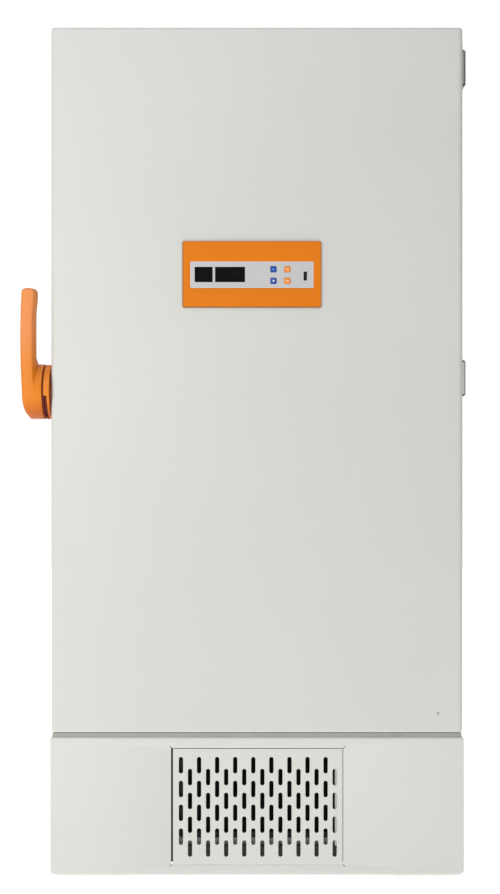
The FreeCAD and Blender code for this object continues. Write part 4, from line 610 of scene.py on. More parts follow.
def tread_rubber(name, colour):
    """Caster tread: dark polyurethane with scuffs and floor dust."""
    f = Finish(name, Specular_IOR_Level=0.4)
    dust = f.smooth(f.noise(48.0, 5.0, 0.65), 0.45, 0.75)
    scuff = f.smooth(f.noise(1.0, 3.0, 0.6, f.stretch(900.0, 60.0, 60.0)), 0.60, 0.72)
    f.colour(f.mix(dust * 0.6 | scuff * 0.4, colour, (0.30, 0.29, 0.27, 1.0)))
    f.rough(0.55 + 0.20 * dust)
    return f.bump(f.noise(400.0, 2.0) - 0.5 * scuff, 0.15, 0.0003)


def enamel(name, colour):
    """Black enamel on pressed steel: gloss with sags, dust on the upper faces."""
    f = Finish(name, Specular_IOR_Level=0.5)
    sag = f.noise(20.0, 3.0)
    dust = f.smooth(f.noise(140.0, 4.0, 0.7), 0.48, 0.80)
    f.colour(f.mix(dust * 0.35, colour, (0.14, 0.135, 0.13, 1.0)))
    f.rough(0.26 + 0.14 * sag + 0.25 * dust)
    return f.bump(sag + 0.3 * f.noise(500.0, 2.0), 0.12, 0.0006)


def hinge_plastic(name, upper, lower):
    """Hinge caps: the upper one darker than the lower one."""
    f = Finish(name, Specular_IOR_Level=0.45)
    lo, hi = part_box("hinge_covers")
    middle = (lo[2] + hi[2]) / 2
    place = f.smooth(f.axis("Z"), middle - 0.1, middle + 0.1)
    drift = f.noise(24.0, 3.0)
    skin = f.cells(1100.0)
    base = f.mix(place, lower, upper)
    f.colour(f.mix(drift * 0.25, base, f.mix(place, shade(lower, 0.8), shade(upper, 0.7))))
    f.rough(0.40 + 0.08 * skin + 0.06 * drift)
    return f.bump(skin, 0.12, 0.00025)


def handle_plastic(name, upper, lower):
    """Lever plastic: paler up the lever as a painted sheen, and deeper towards the drum's foot as
    painted shade.
    """
    f = Finish(name, Specular_IOR_Level=0.28)
    lo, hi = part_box("handle_base")
    hub, reach = (lo[2] + hi[2]) / 2, (hi[2] - lo[2]) / 2
    z = f.axis("Z")
    # Painted sheen: the colour goes paler up the lever, as its face catches the light.
    painted_sheen = f.smooth(z, hub + 0.2 * reach, hub + 2.4 * reach)
    # Painted shade: the colour deepens towards the drum's foot, which turns down away from the
    # light.
    deep = f.smooth(z, hub - 0.1 * reach, hub - 0.95 * reach)
    drift = f.noise(16.0, 3.0)
    skin = f.cells(900.0)
    rub = f.smooth(f.noise(60.0, 5.0, 0.7), 0.60, 0.80)
    # The red-brown mixed in here is the painted shade at the drum's foot.
    base = f.mix(deep * 0.9, f.mix(painted_sheen, lower, upper), (0.50, 0.105, 0.003, 1.0))
    mottled = f.mix(drift, f.mix(0.06, base, (0.25, 0.05, 0.0, 1.0)), base)
    f.colour(f.mix(rub * 0.15, mottled, shade(upper, 1.10)))
    f.rough(0.30 + 0.08 * skin + 0.06 * drift - 0.06 * rub)
    return f.bump(skin, 0.07, 0.00025)


FINISHES = {}


def finish(slot):
    """The material of a slot, made once."""
    if slot not in FINISHES:
        colours = bpy.context.scene.freezer_colours
        black = (0.030, 0.030, 0.032, 1.0)
        makers = {
            "paint_white": (powder_coat, "door_paint", colours.body),
            # Painted light: the lower panel's paint is a touch lighter than the body paint, for the
            # floor's bounce on it.
            "base_paint": (powder_coat, "base_paint", colours.base),
            # The grey pan paint is partly painted light: its tone was raised to offset the shade it
            # sits in behind the grille.
            "paint_grey": (powder_coat, "pan_paint", srgb(182, 184, 183), 0.48, 0.16),
            "paint_black": (enamel, "black_enamel", (0.012, 0.012, 0.013, 1.0)),
            "galvanised": (galvanised, "zinc_sheet"),
            "stainless": (brushed, "brushed_stainless", srgb(196, 196, 194), 2),
            "bright_steel": (plated, "plated_steel"),
            "copper": (copper, "copper_tube"),
            "aluminium": (brushed, "mill_aluminium", srgb(188, 190, 192), 0, 0.36),
            "foam": (rigid_foam, "rigid_foam"),
            "white_plastic": (moulded, "white_moulding", colours.lining, 0.46, 0.10),
            "grey_plastic": (hinge_plastic, "hinge_moulding", tuple(colours.hinge_upper),
                             tuple(colours.hinge_lower)),
            "black_plastic": (moulded, "black_moulding", (0.016, 0.016, 0.017), 0.50, 0.20),
            # The lever's paler orange is a painted sheen, and the handle finish also paints shade
            # at the drum's foot.
            "orange_plastic": (handle_plastic, "orange_moulding", tuple(colours.orange_painted_sheen),
                               tuple(colours.orange)),
            # Dark red-brown seal rubber whose colour paints the shade in the handle's groove, notch
            # and ring foot.
            "dark_seal": (soft_seal, "handle_seal", (0.150, 0.018, 0.008, 1.0)),
            # Near-black foam; it also paints the shade under the base pan and in the grille's
            # joints.
            "air_seal": (soft_seal, "air_seal", srgb(30, 30, 28)),
            "panel_orange": (panel_moulding, "panel_moulding", colours.panel),
            "key_plate": (key_plate, "printed_plate", colours.plate),
            "display": (display_glass, "display_glass"),
            "key_blue": (moulded, "blue_key", colours.key_blue, 0.30, 0.05, 0.5, 0.05),
            "key_orange": (moulded, "orange_key", colours.key_orange, 0.34, 0.05, 0.45, 0.05),
            "key_print": (moulded, "key_print", srgb(232, 232, 226), 0.5, 0.05),
            "key_print_blue": (moulded, "key_print_blue", srgb(120, 170, 225), 0.5, 0.05),
            # The sill rubber's pale grey also paints the light seen through the gap under the door.
            "sill": (soft_seal, "sill_rubber", srgb(168, 169, 162)),
            "seal": (soft_seal, "grey_seal", srgb(112, 112, 114)),
            "board": (circuit_board, "circuit_board"),
            "mesh": (filter_mesh, "filter_cloth", black),
            "wheel": (tread_rubber, "caster_tread", black),
        }
        maker, *values = makers[slot]
        FINISHES[slot] = maker(*values).material
    return FINISHES[slot]


# Settings

def length(name, description, millimetres, least=1.0):
    """Property of a length, with its default and its least value in millimetres."""
    return FloatProperty(name=name, description=description, default=millimetres * MM,
                         min=least * MM, unit="LENGTH")


def swatch(name, description, *display_colour):
    """Property of a colour, with its default as a display colour of 0 to 255."""
    return FloatVectorProperty(name=name, description=description, size=4, subtype="COLOR",
                               default=srgb(*display_colour))


def strength(name, description, default):
    """Property of a light's strength or power."""
    return FloatProperty(name=name, description=description, default=default, min=0.0)


class FreezerSizes(bpy.types.PropertyGroup):
    """Sizes of the visible forms"""
    door_side_round: length("Door side rounding", "Radius of the door's upright edges", 12)
    door_end_round: length("Door end rounding", "Radius of the door's top and bottom edges", 6)
    door_corner: length("Door corner", "Corner radius of the door seen from the front", 7)
    base_round: length("Base edge rounding", "Radius of the lower panel's front edges", 4)
    base_low_corner: length("Base lower corner", "Radius of the lower panel's bottom corners", 11)
    base_high_corner: length("Base upper corner", "Radius of the lower panel's top corners", 5)
    sheet_wall: length("Sheet thickness", "Wall of the door pan and of the lower panel", 1.2, 0.5)
    panel_round: length("Control panel edge", "Edge radius of the control panel's front", 2, 0.2)
    key_crown: length("Key crown", "Height of a key's middle over its rim", 0.35, 0)
    lever_width: length("Lever width", "Width of the lever at its waist", 34.3)
    lever_thick: length("Lever thickness", "Depth of the lever from front to back", 32)
    facet_width: length("Lever facet width", "Width of the bevel on the lever's right front", 6.4)
    facet_depth: length("Lever facet depth", "Depth of the bevel on the lever's right front", 16)
    lever_top_round: length("Lever top rounding", "Radius of the lever's top corners", 9)
    lever_bow: length("Lever bow", "How far the ends draw in from the bowed left side", 4.6, 0)
    drum_round: FloatVectorProperty(
        name="Drum rounding", description="Height and width of the drum's rounded left end",
        size=2, unit="LENGTH", default=(48 * MM, 14 * MM))
    seam_width: length("Handle groove width", "Width of the groove between drum and ring", 4, 0.5)
    seam_depth: length("Handle groove depth", "Depth of the groove between drum and ring", 7, 0.5)
    fan_blades: IntProperty(
        name="Fan blades", description="Number of blades of the condenser fan", default=5, min=2)


class FreezerColours(bpy.types.PropertyGroup):
    """Colours of the finishes"""
    body: swatch("Body paint", "Off-white of the door and the cabinet", 210, 210, 206)
    # Painted light: the base paint is lighter than the body paint, for the floor's bounce on the
    # lower panel.
    base: swatch("Base paint", "Off-white of the lower front panel", 214, 213, 208)
    orange: swatch("Handle orange", "Plastic of the drum and the ring", 227, 130, 24)
    # Painted sheen: the lever's paler orange stands for the light on its face.
    orange_painted_sheen: swatch("Lever orange", "The same plastic, faded up the lever", 231, 143, 78)
    panel: swatch("Panel orange", "Plastic of the control panel's front plate", 222, 120, 2)
    plate: swatch("Key plate", "Print colour of the grey key plate", 194, 194, 194)
    key_blue: swatch("Blue key", "Colour of the two blue keys", 14, 66, 158)
    key_orange: swatch("Orange key", "Colour of the two orange keys", 240, 138, 38)
    hinge_upper: swatch("Upper hinge cap", "Colour of the upper hinge cap", 176, 178, 168)
    hinge_lower: swatch("Lower hinge cap", "Colour of the lower hinge cap", 222, 222, 216)
    lining: swatch("Inner mouldings", "White plastic inside the outer door", 222, 222, 218)


class FreezerStage(bpy.types.PropertyGroup):
    """Camera and light"""
    camera_place: FloatVectorProperty(
        name="Camera", description="Place of the camera", size=3, subtype="TRANSLATION",
        unit="LENGTH", default=(0.00875, -3.280, 0.9917))
    lens: FloatProperty(
        name="Lens", description="Focal length for the long side of the frame",
        default=49.17, min=1.0, unit="CAMERA")
    front_light: strength("Front light", "Strength of the surround before the object", 0.45)
    back_light: strength("Back light", "Strength added behind the object", 0.50)
    top_light: strength("Top light", "Strength added overhead", 0.30)
    side_fall: strength("Side fall-off", "Strength lost from left to right", 0.19)
    side_dark: FloatProperty(
        name="Side darkening", description="Share that the surround loses towards both sides",
        default=0.40, min=0.0, max=1.0)
    floor_glow: strength("Floor glow", "Light that the lit studio floor gives off", 0.58)
    side_light: strength("Side light", "Power of the tall light at the left, in watts", 14.0)
    soft_light: strength("Soft light", "Power of the light at the left front, in watts", 10.0)
    floor: swatch("Floor", "Colour of the studio floor", 246, 246, 245)


def sizes():
    """The sizes that the user may change."""
    return bpy.context.scene.freezer_sizes


# Door and cabinet

class FREEZER_OT_outer_door(bpy.types.Operator):
    """Painted door pan with rolled edges, open at the back over its foam"""
    bl_idname = "freezer.outer_door"
    bl_label = "Outer door"

    def execute(self, context):
        size = sizes()
        lo, hi, centre, half = front_view("door_skin")
        wall = size.sheet_wall
        rounding = np.array([size.door_side_round, size.door_end_round])
        outer, normal = rounded_ring(*half, size.door_corner)
        inner = outer - normal * wall
        rings = [at_depth(inner, lo[1] + rounding.max() + wall, centre)[None],
                 at_depth(inner, hi[1], centre)[None],
                 at_depth(outer, hi[1], centre)[None],
                 rolled_edge(outer, normal, rounding, lo[1], centre, steps=9)]
        shell = Shell().loft(np.concatenate(rings))
        as_piece("door_pan", shell, "paint_white", "door", ("door_skin",))
        plug_from_left, plug_height = 888 * MM, 381 * MM
        profile = np.array([(0, 0.2), (1.5, 0.15), (2.0, 0), (2.6, -0.35), (3.0, 0)]) * MM
        dot = revolved(profile, (lo[0] + plug_from_left, lo[1], plug_height), 1, 24)
        as_piece("door_plug_hole", Shell().grid(dot, ring_columns=True), "black_plastic", "door",
                 closed=False)
        return {"FINISHED"}


class FREEZER_OT_lower_panel(bpy.types.Operator):
    """Lower front panel with rolled edges and the opening of the grille"""
    bl_idname = "freezer.lower_panel"
    bl_label = "Lower front panel"

    def execute(self, context):
        size = sizes()
        lo, hi, centre, half = front_view("front_lower_panel")
        wall = size.sheet_wall
        skirt_return = 25 * MM
        # The back edge is at the panel's depth at the sides, and at the skirt's return below:
        # y = back + (return - back) * (downward part of the normal) ** 2.
        high, low = size.base_high_corner, size.base_low_corner
        outer, normal = rounded_ring(*half, [high, high, low, low], 9)
        inner = outer - normal * wall
        under = np.clip(-normal[:, 1], 0, 1) ** 2
        back = hi[1] + (lo[1] + skirt_return - hi[1]) * under
        hatch_lo, hatch_hi = span("grille_hatch")
        gap_left, gap_right, gap_top, gap_low = 4.3 * MM, 1.4 * MM, 1.5 * MM, 1.0 * MM
        x0, x1 = hatch_lo[0] - gap_left, hatch_hi[0] + gap_right
        z0, z1 = hatch_lo[2] - gap_low, hatch_hi[2] + gap_top
        window = np.array([x0 + x1, z0 + z1]) / 2
        hole, hole_normal = rounded_ring((x1 - x0) / 2, (z1 - z0) / 2, 2.0 * MM, 9)
        lip = rolled_edge(hole, -hole_normal, 0.6 * MM, lo[1], window, steps=3)[::-1]
        rings = [rolled_edge(outer, normal, size.base_round, lo[1], centre, steps=7), lip,
                 at_depth(hole, lo[1] + wall, window)[None],
                 at_depth(inner, lo[1] + wall + size.base_round, centre)[None],
                 at_depth(inner, back, centre)[None], at_depth(outer, back, centre)[None]]
        shell = Shell().grid(np.concatenate(rings), ring_rows=True, ring_columns=True)
        as_piece("lower_panel", shell, "base_paint", "cabinet", ("front_lower_panel",))
        return {"FINISHED"}


class FREEZER_OT_sill_strip(bpy.types.Operator):
    """Grey strip on the lower panel that closes the gap under the outer door; its pale grey also
    paints the light seen through the gap
    """
    bl_idname = "freezer.sill_strip"
    bl_label = "Sill strip"

    def execute(self, context):
        door_lo, door_hi = span("door_skin")
        panel_hi = span("front_lower_panel")[1]
        set_back = 4.5 * MM
        y0 = door_lo[1] + set_back
        low, high = panel_hi[2] - 0.5 * MM, door_lo[2] - 1.2 * MM
        section = np.array([(y0, low), (y0, high - 1.5 * MM), (y0 + 0.5 * MM, high - 0.4 * MM),
                            (y0 + 1.5 * MM, high), (y0 + 7 * MM, high),
                            (y0 + 9 * MM, high - 2.5 * MM), (y0 + 9 * MM, low)])
        ends = np.array([door_lo[0] + 3 * MM, door_lo[0] + 4 * MM,
                         door_hi[0] - 4 * MM, door_hi[0] - 3 * MM])
        rings = bar(section, ends, 0)
        rings[[0, -1], 1:6, 2] -= 0.8 * MM
        # Painted light: the strip's pale grey stands for the lit top of the lower panel seen
        # through the gap.
        as_piece("sill_strip", Shell().loft(rings), "sill", "cabinet")
        return {"FINISHED"}


class FREEZER_OT_grille(bpy.types.Operator):
    """Slotted grille door with eased slots, its seals and its pleated filter"""
    bl_idname = "freezer.grille"
    bl_label = "Grille and filter"

    def execute(self, context):
        eased("grille_hatch", 0.35 * MM, "base_paint")
        self.make_trim()
        lo, hi, centre, half = front_view("air_filter")
        rim = 9.0 * MM
        pleats = 58
        # The cloth's depth is near and far in turn along x.
        x = np.linspace(lo[0] + rim, hi[0] - rim, 2 * pleats + 1)
        zig = np.where(np.arange(2 * pleats + 1) % 2 == 0, lo[1] + 2.2 * MM, hi[1] - 1.5 * MM)
        z = np.linspace(lo[2] + rim, hi[2] - rim, 4)
        sheet = np.stack(np.broadcast_arrays(x[None], zig[None], z[:, None]), -1)
        media = as_piece("filter_pleats", Shell().grid(sheet), "mesh", "cabinet", ("air_filter",),
                         closed=False, smooth=20.0)
        thickened(media, 0.6 * MM)
        outer, normal = rounded_ring(*half, 2.5 * MM, 5)
        frame_profile = [(0, lo[1] + 0.8 * MM), (0.8 * MM, lo[1]), (rim - 0.8 * MM, lo[1]),
                         (rim, lo[1] + 0.8 * MM), (rim, hi[1]), (0, hi[1])]
        border = Shell().grid(carried(frame_profile, outer, normal, centre), True, True)
        pan_lo, pan_hi = span("base_frame")
        lip = np.array([(pan_lo[1] - 1.0 * MM, pan_hi[2] - 4.6 * MM), (pan_lo[1] - 1.0 * MM, lo[2]),
                        (lo[1] + 1.0 * MM, lo[2] + 1.2 * MM), (lo[1] + 1.0 * MM, lo[2]),
                        (pan_lo[1] - 0.1 * MM, pan_hi[2] - 4.6 * MM)])
        ends = np.array([lo[0] + 1 * MM, hi[0] - 1 * MM])
        border.loft(bar(lip, ends, 0))
        as_piece("filter_frame", border, "black_plastic", "cabinet")
        return {"FINISHED"}

    def make_trim(self):
        """Return flange behind the last row of slots, grey for its painted shade; foam strip that
        closes the gap under the base pan and foam strips behind both upright joints, black as
        painted shade; and dark strips at the corners, the painted shadow of relief cuts."""
        lo, hi = span("grille_hatch")
        hatch = body_of("grille_hatch")
        x0, x1 = hi[0] - 17.6 * MM, hi[0] - 9.5 * MM
        y0 = lo[1] + 3.0 * MM
        section = np.array([(x0, y0 + 3.2 * MM), (x0, y0 + 1.2 * MM), (x0 + 0.8 * MM, y0),
                            (x1, y0), (x1, y0 + 1.2 * MM), (x0 + 1.6 * MM, y0 + 1.2 * MM),
                            (x0 + 1.2 * MM, y0 + 3.2 * MM)])
        ends = np.array([lo[2] + 6 * MM, hi[2] - 6 * MM])
        # Painted shade: the flange takes the grey pan paint, darker than the base paint, for its
        # shade behind the slots.
        as_piece("grille_flange", Shell().loft(bar(section, ends, 2)), "paint_grey", hatch)
        near, far = lo[1] + 1.7 * MM, hi[1] + 1.0 * MM
        low, high = lo[2] + 4 * MM, span("base_frame")[0][2] + 6.5 * MM
        foam = np.array([(near, low), (near, high - 0.4 * MM), (near + 0.6 * MM, high),
                         (far - 2 * MM, high), (far, high - 2.5 * MM), (far, low)])
        ends = np.array([lo[0] + 9 * MM, hi[0] - 3 * MM])
        # Painted shade: black foam under the base pan, where the shade falls.
        as_piece("grille_air_seal_shade", Shell().loft(bar(foam, ends, 0)), "air_seal", hatch)
        edge = np.array([(-4, 0.3), (-3.6, 0), (3.6, 0), (4, 0.3), (4, 1), (-4, 1)]) * MM
        ends = np.array([lo[2] + 1 * MM, hi[2] - 1 * MM])
        seals = Shell()
        for x in (lo[0] - 2 * MM, hi[0] + 2 * MM):
            seals.loft(bar(edge + (x, hi[1] + 3.7 * MM), ends, 2))
        # Painted shade: black foam strips behind both upright joints, dark as the shade in them.
        as_piece("grille_joint_shade_seals", seals, "air_seal", "cabinet")
        front = span("front_lower_panel")[0][1]
        cut = 4.6 * MM
        # Painted shadow: dark strips at the opening's corners stand for the shade in relief cuts.
        cuts = Shell()
        for x, way_x in ((lo[0] - 2.6 * MM, -1), (hi[0] + 1.4 * MM, 1)):
            for z, way_z in ((lo[2] - 0.8 * MM, -1), (hi[2] + 1.3 * MM, 1)):
                line = np.array([(x, z), (x + way_x * cut, z + way_z * cut)])
                cuts.loft(strip_along(line, 0.75 * MM, front + 0.3 * MM, front - 0.06 * MM))
        as_piece("relief_cut_shadows", cuts, "black_plastic", "cabinet")


class FREEZER_OT_sheet_metal(bpy.types.Operator):
    """Cabinet panels, brackets and pans with eased edges"""
    bl_idname = "freezer.sheet_metal"
    bl_label = "Sheet metal"

    def execute(self, context):
        for node, width in (("left_side_panel", 0.4), ("right_side_panel", 0.4),
                            ("top_panel", 0.4), ("rear_service_cover", 0.4), ("rear_panel", 0.4),
                            ("base_frame", 0.8), ("fan_shroud", 0.5), ("electrical_box", 0.8),
                            ("hinge_brackets", 0.6), ("door_hinge_leaves", 0.6),
                            ("latch_keeper", 0.8), ("latch_hook", 0.8), ("shelves", 0.4),
                            ("shelf_supports", 0.8), ("caster_fork_front_left", 0.6),
                            ("caster_fork_front_right", 0.6), ("rear_caster_forks", 0.6),
                            ("hinge_covers", 0.9), ("breaker_strips", 0.8),
                            ("inner_door_frame", 1.2), ("lock_cylinder", 0.5),
                            ("door_inner_panel", 0.6), ("power_inlet", 0.6)):
            cap = node in ("hinge_brackets", "door_hinge_leaves")
            eased(node, width * MM, "grey_plastic" if cap else None)
        return {"FINISHED"}


class FREEZER_OT_inner_doors(bpy.types.Operator):
    """Inner doors with eased edges, finger pulls and soft seals"""
    bl_idname = "freezer.inner_doors"
    bl_label = "Inner doors"

    def execute(self, context):
        for node in ("inner_door_upper", "inner_door_lower"):
            eased(node, 1.0 * MM)
            lo, hi = span(node)
            x0, width, height = lo[0] + 16 * MM, 30 * MM, 110 * MM
            middle = (lo[2] + hi[2]) / 2
            front = lo[1] + 5.5 * MM
            ring, normal = rounded_ring(width / 2, height / 2, 4 * MM, 6)
            lip = [(0.2 * MM, front + 4 * MM), (-3.0 * MM, front + 0.2 * MM),
                   (-2.4 * MM, front - 0.8 * MM), (0.2 * MM, front - 1.2 * MM),
                   (1.6 * MM, front - 0.4 * MM), (1.8 * MM, front + 10 * MM),
                   (0.2 * MM, front + 11 * MM)]
            rim = carried(lip, ring, normal, (x0 + width / 2, middle))
            as_piece(node + "_pull_rim", Shell().grid(rim, True, True), "seal",
                     body_of(node))
        return {"FINISHED"}


class FREEZER_OT_door_gasket(bpy.types.Operator):
    """Outer door seal: a hollow bellows section carried round the door"""
    bl_idname = "freezer.door_gasket"
    bl_label = "Door seal"

    def execute(self, context):
        lo, hi, centre, half = front_view("door_gasket")
        ring, normal = rounded_ring(*half, 12 * MM, 7)
        depth, wide = hi[1] - lo[1], 26 * MM
        section = np.array([(0.02, 0.0), (0.10, 0.18), (0.02, 0.36), (0.00, 0.52), (0.08, 0.66),
                            (0.01, 0.80), (0.03, 0.96), (0.10, 1.0), (0.90, 1.0), (0.97, 0.96),
                            (0.99, 0.80), (0.92, 0.66), (1.00, 0.52), (0.98, 0.36), (0.90, 0.18),
                            (0.98, 0.0)])
        profile = section * (wide, depth) + (0, lo[1])
        as_piece("door_seal", Shell().grid(carried(profile, ring, normal, centre), True, True),
                 "seal", "door", ("door_gasket",), smooth=60.0)
        return {"FINISHED"}


# Control panel

def panel_front(edge):
    """Front plate as a frame: rolled outer edge, flat face, wall of the plate's recess."""
    lo, hi, centre, half = front_view("control_bezel")
    outer, normal = rounded_ring(*half, 3.6 * MM, 7)
    window, reach = front_view("control_membrane")[2:]
    hole, hole_normal = rounded_ring(*(reach + 0.3 * MM), 2.6 * MM, 7)
    rings = [at_depth(outer, hi[1], centre)[None],
             rolled_edge(outer, normal, edge, lo[1], centre, steps=6),
             rolled_edge(hole, -hole_normal, 0.35 * MM, lo[1], window, steps=4)[::-1],
             at_depth(hole, hi[1], window)[None]]
    shell = Shell().grid(np.concatenate(rings), ring_rows=True, ring_columns=True)
    as_piece("panel_front", shell, "panel_orange", "door", ("control_bezel",))


def key_cap(place, half, front, back, crown):
    """Rings of a key: straight sides, a rolled rim and a crowned face.

    On the face y = front + crown * (distance from the middle / half) ** 2.
    """
    ring, normal = rounded_ring(half, half, 3.0 * MM, 6)
    rim = rolled_edge(ring, normal, 1.0 * MM, front + crown, place, steps=5)
    shares = np.linspace(0.86, 0.06, 6)
    face = [at_depth((ring - normal * MM) * share, front + crown * share ** 2, place)
            for share in shares]
    return np.concatenate([at_depth(ring, back, place)[None], rim, np.stack(face)])


class FREEZER_OT_control_panel(bpy.types.Operator):
    """Control panel's front plate, and its keys with their generic marks"""
    bl_idname = "freezer.control_panel"
    bl_label = "Control panel"

    def execute(self, context):
        size = sizes()
        panel_front(size.panel_round)
        for name in ("key_blue_upper", "key_blue_lower", "key_orange_upper", "key_orange_lower"):
            self.make_key(name, size.key_crown)
        return {"FINISHED"}

    def make_key(self, name, crown):
        """Cap, stem and raised mark of one key."""
        lo, hi = span(name)
        place = np.array([lo[0] + hi[0], lo[2] + hi[2]]) / 2
        half = (hi[0] - lo[0]) / 2
        plate_back = span("control_membrane")[1][1]
        front = lo[1] + 0.06 * MM
        back = plate_back - 0.6 * MM
        shell = Shell().loft(key_cap(place, half, front, back, crown))
        stem = revolved([(0, back - 0.2 * MM), (3 * MM, back - 0.2 * MM), (3 * MM, hi[1]),
                         (0, hi[1])], (place[0], 0, place[1]), 1, 20)
        shell.grid(stem, ring_columns=True)
        slot = "key_blue" if "blue" in name else "key_orange"
        as_piece(name + "_cap", shell, slot, name + "_body", (name,))
        marks = {
            "key_blue_upper": [[(-3.2, 1.4), (0, -1.8), (3.2, 1.4)]],
            "key_blue_lower": [[(-1.5, -1.5), (-1.5, 1.5), (1.5, 1.5), (1.5, -1.5), (-1.5, -1.5)]],
            "key_orange_upper": [[(-3.0, 0.4), (-1.5, 1.6), (0, 0.4), (1.5, -0.8), (3.0, 0.4)]],
            "key_orange_lower": [[(-3.0, 0), (2.4, 0)], [(0.6, 1.9), (2.8, 0), (0.6, -1.9)]],
        }[name]
        art = Shell()
        for line in marks:
            points = np.array(line) * MM + place
            art.grid(strip_along(points, 0.65 * MM, front + 0.3 * MM, lo[1]), ring_columns=True)
        look = "key_print_blue" if name == "key_blue_upper" else "key_print"
        as_piece(name + "_mark", art, look, name + "_body", closed=False)


# Lever handle

def lever_sections(left, right, front, back, facet_width, facet_depth):
    """Sections of the lever seen from above, one for each height.

    Corners in order: left front, start and end of the right front facet, right back, left
    back. Each is rounded by the arc that touches both of its sides at the same distance.
    """
    corners = np.stack([np.stack([left, front], -1), np.stack([right - facet_width, front], -1),
                        np.stack([right, front + facet_depth], -1),
                        np.stack([right, back], -1), np.stack([left, back], -1)], 1)
    facet = np.hypot(facet_width, facet_depth)
    full = np.ones_like(left)
    radii = np.stack([6.5 * MM * full, facet * 0.22, facet * 0.22, 9 * MM * full, 9 * MM * full], 1)
    before = np.roll(corners, 1, 1) - corners
    after = np.roll(corners, -1, 1) - corners
    before /= np.linalg.norm(before, axis=2, keepdims=True)
    after /= np.linalg.norm(after, axis=2, keepdims=True)
    half_angle = np.arccos(np.clip((before * after).sum(2), -1, 0.999)) / 2
    reach = (radii / np.tan(half_angle))[..., None]
    start, end = (corners + before * reach)[:, :, None], (corners + after * reach)[:, :, None]
    share = np.linspace(0, 1, 6)[None, None, :, None]
    bend = np.sin(half_angle)[:, :, None, None] * 2 * (1 - share) * share
    weight = (1 - share) ** 2 + bend + share ** 2
    curve = ((1 - share) ** 2 * start + bend * corners[:, :, None] + share ** 2 * end) / weight
    return curve.reshape(len(left), -1, 2)


def ease(value):
    """0 to 1 along a smooth step."""
    value = np.clip(value, 0, 1)
    return value * value * (3 - 2 * value)


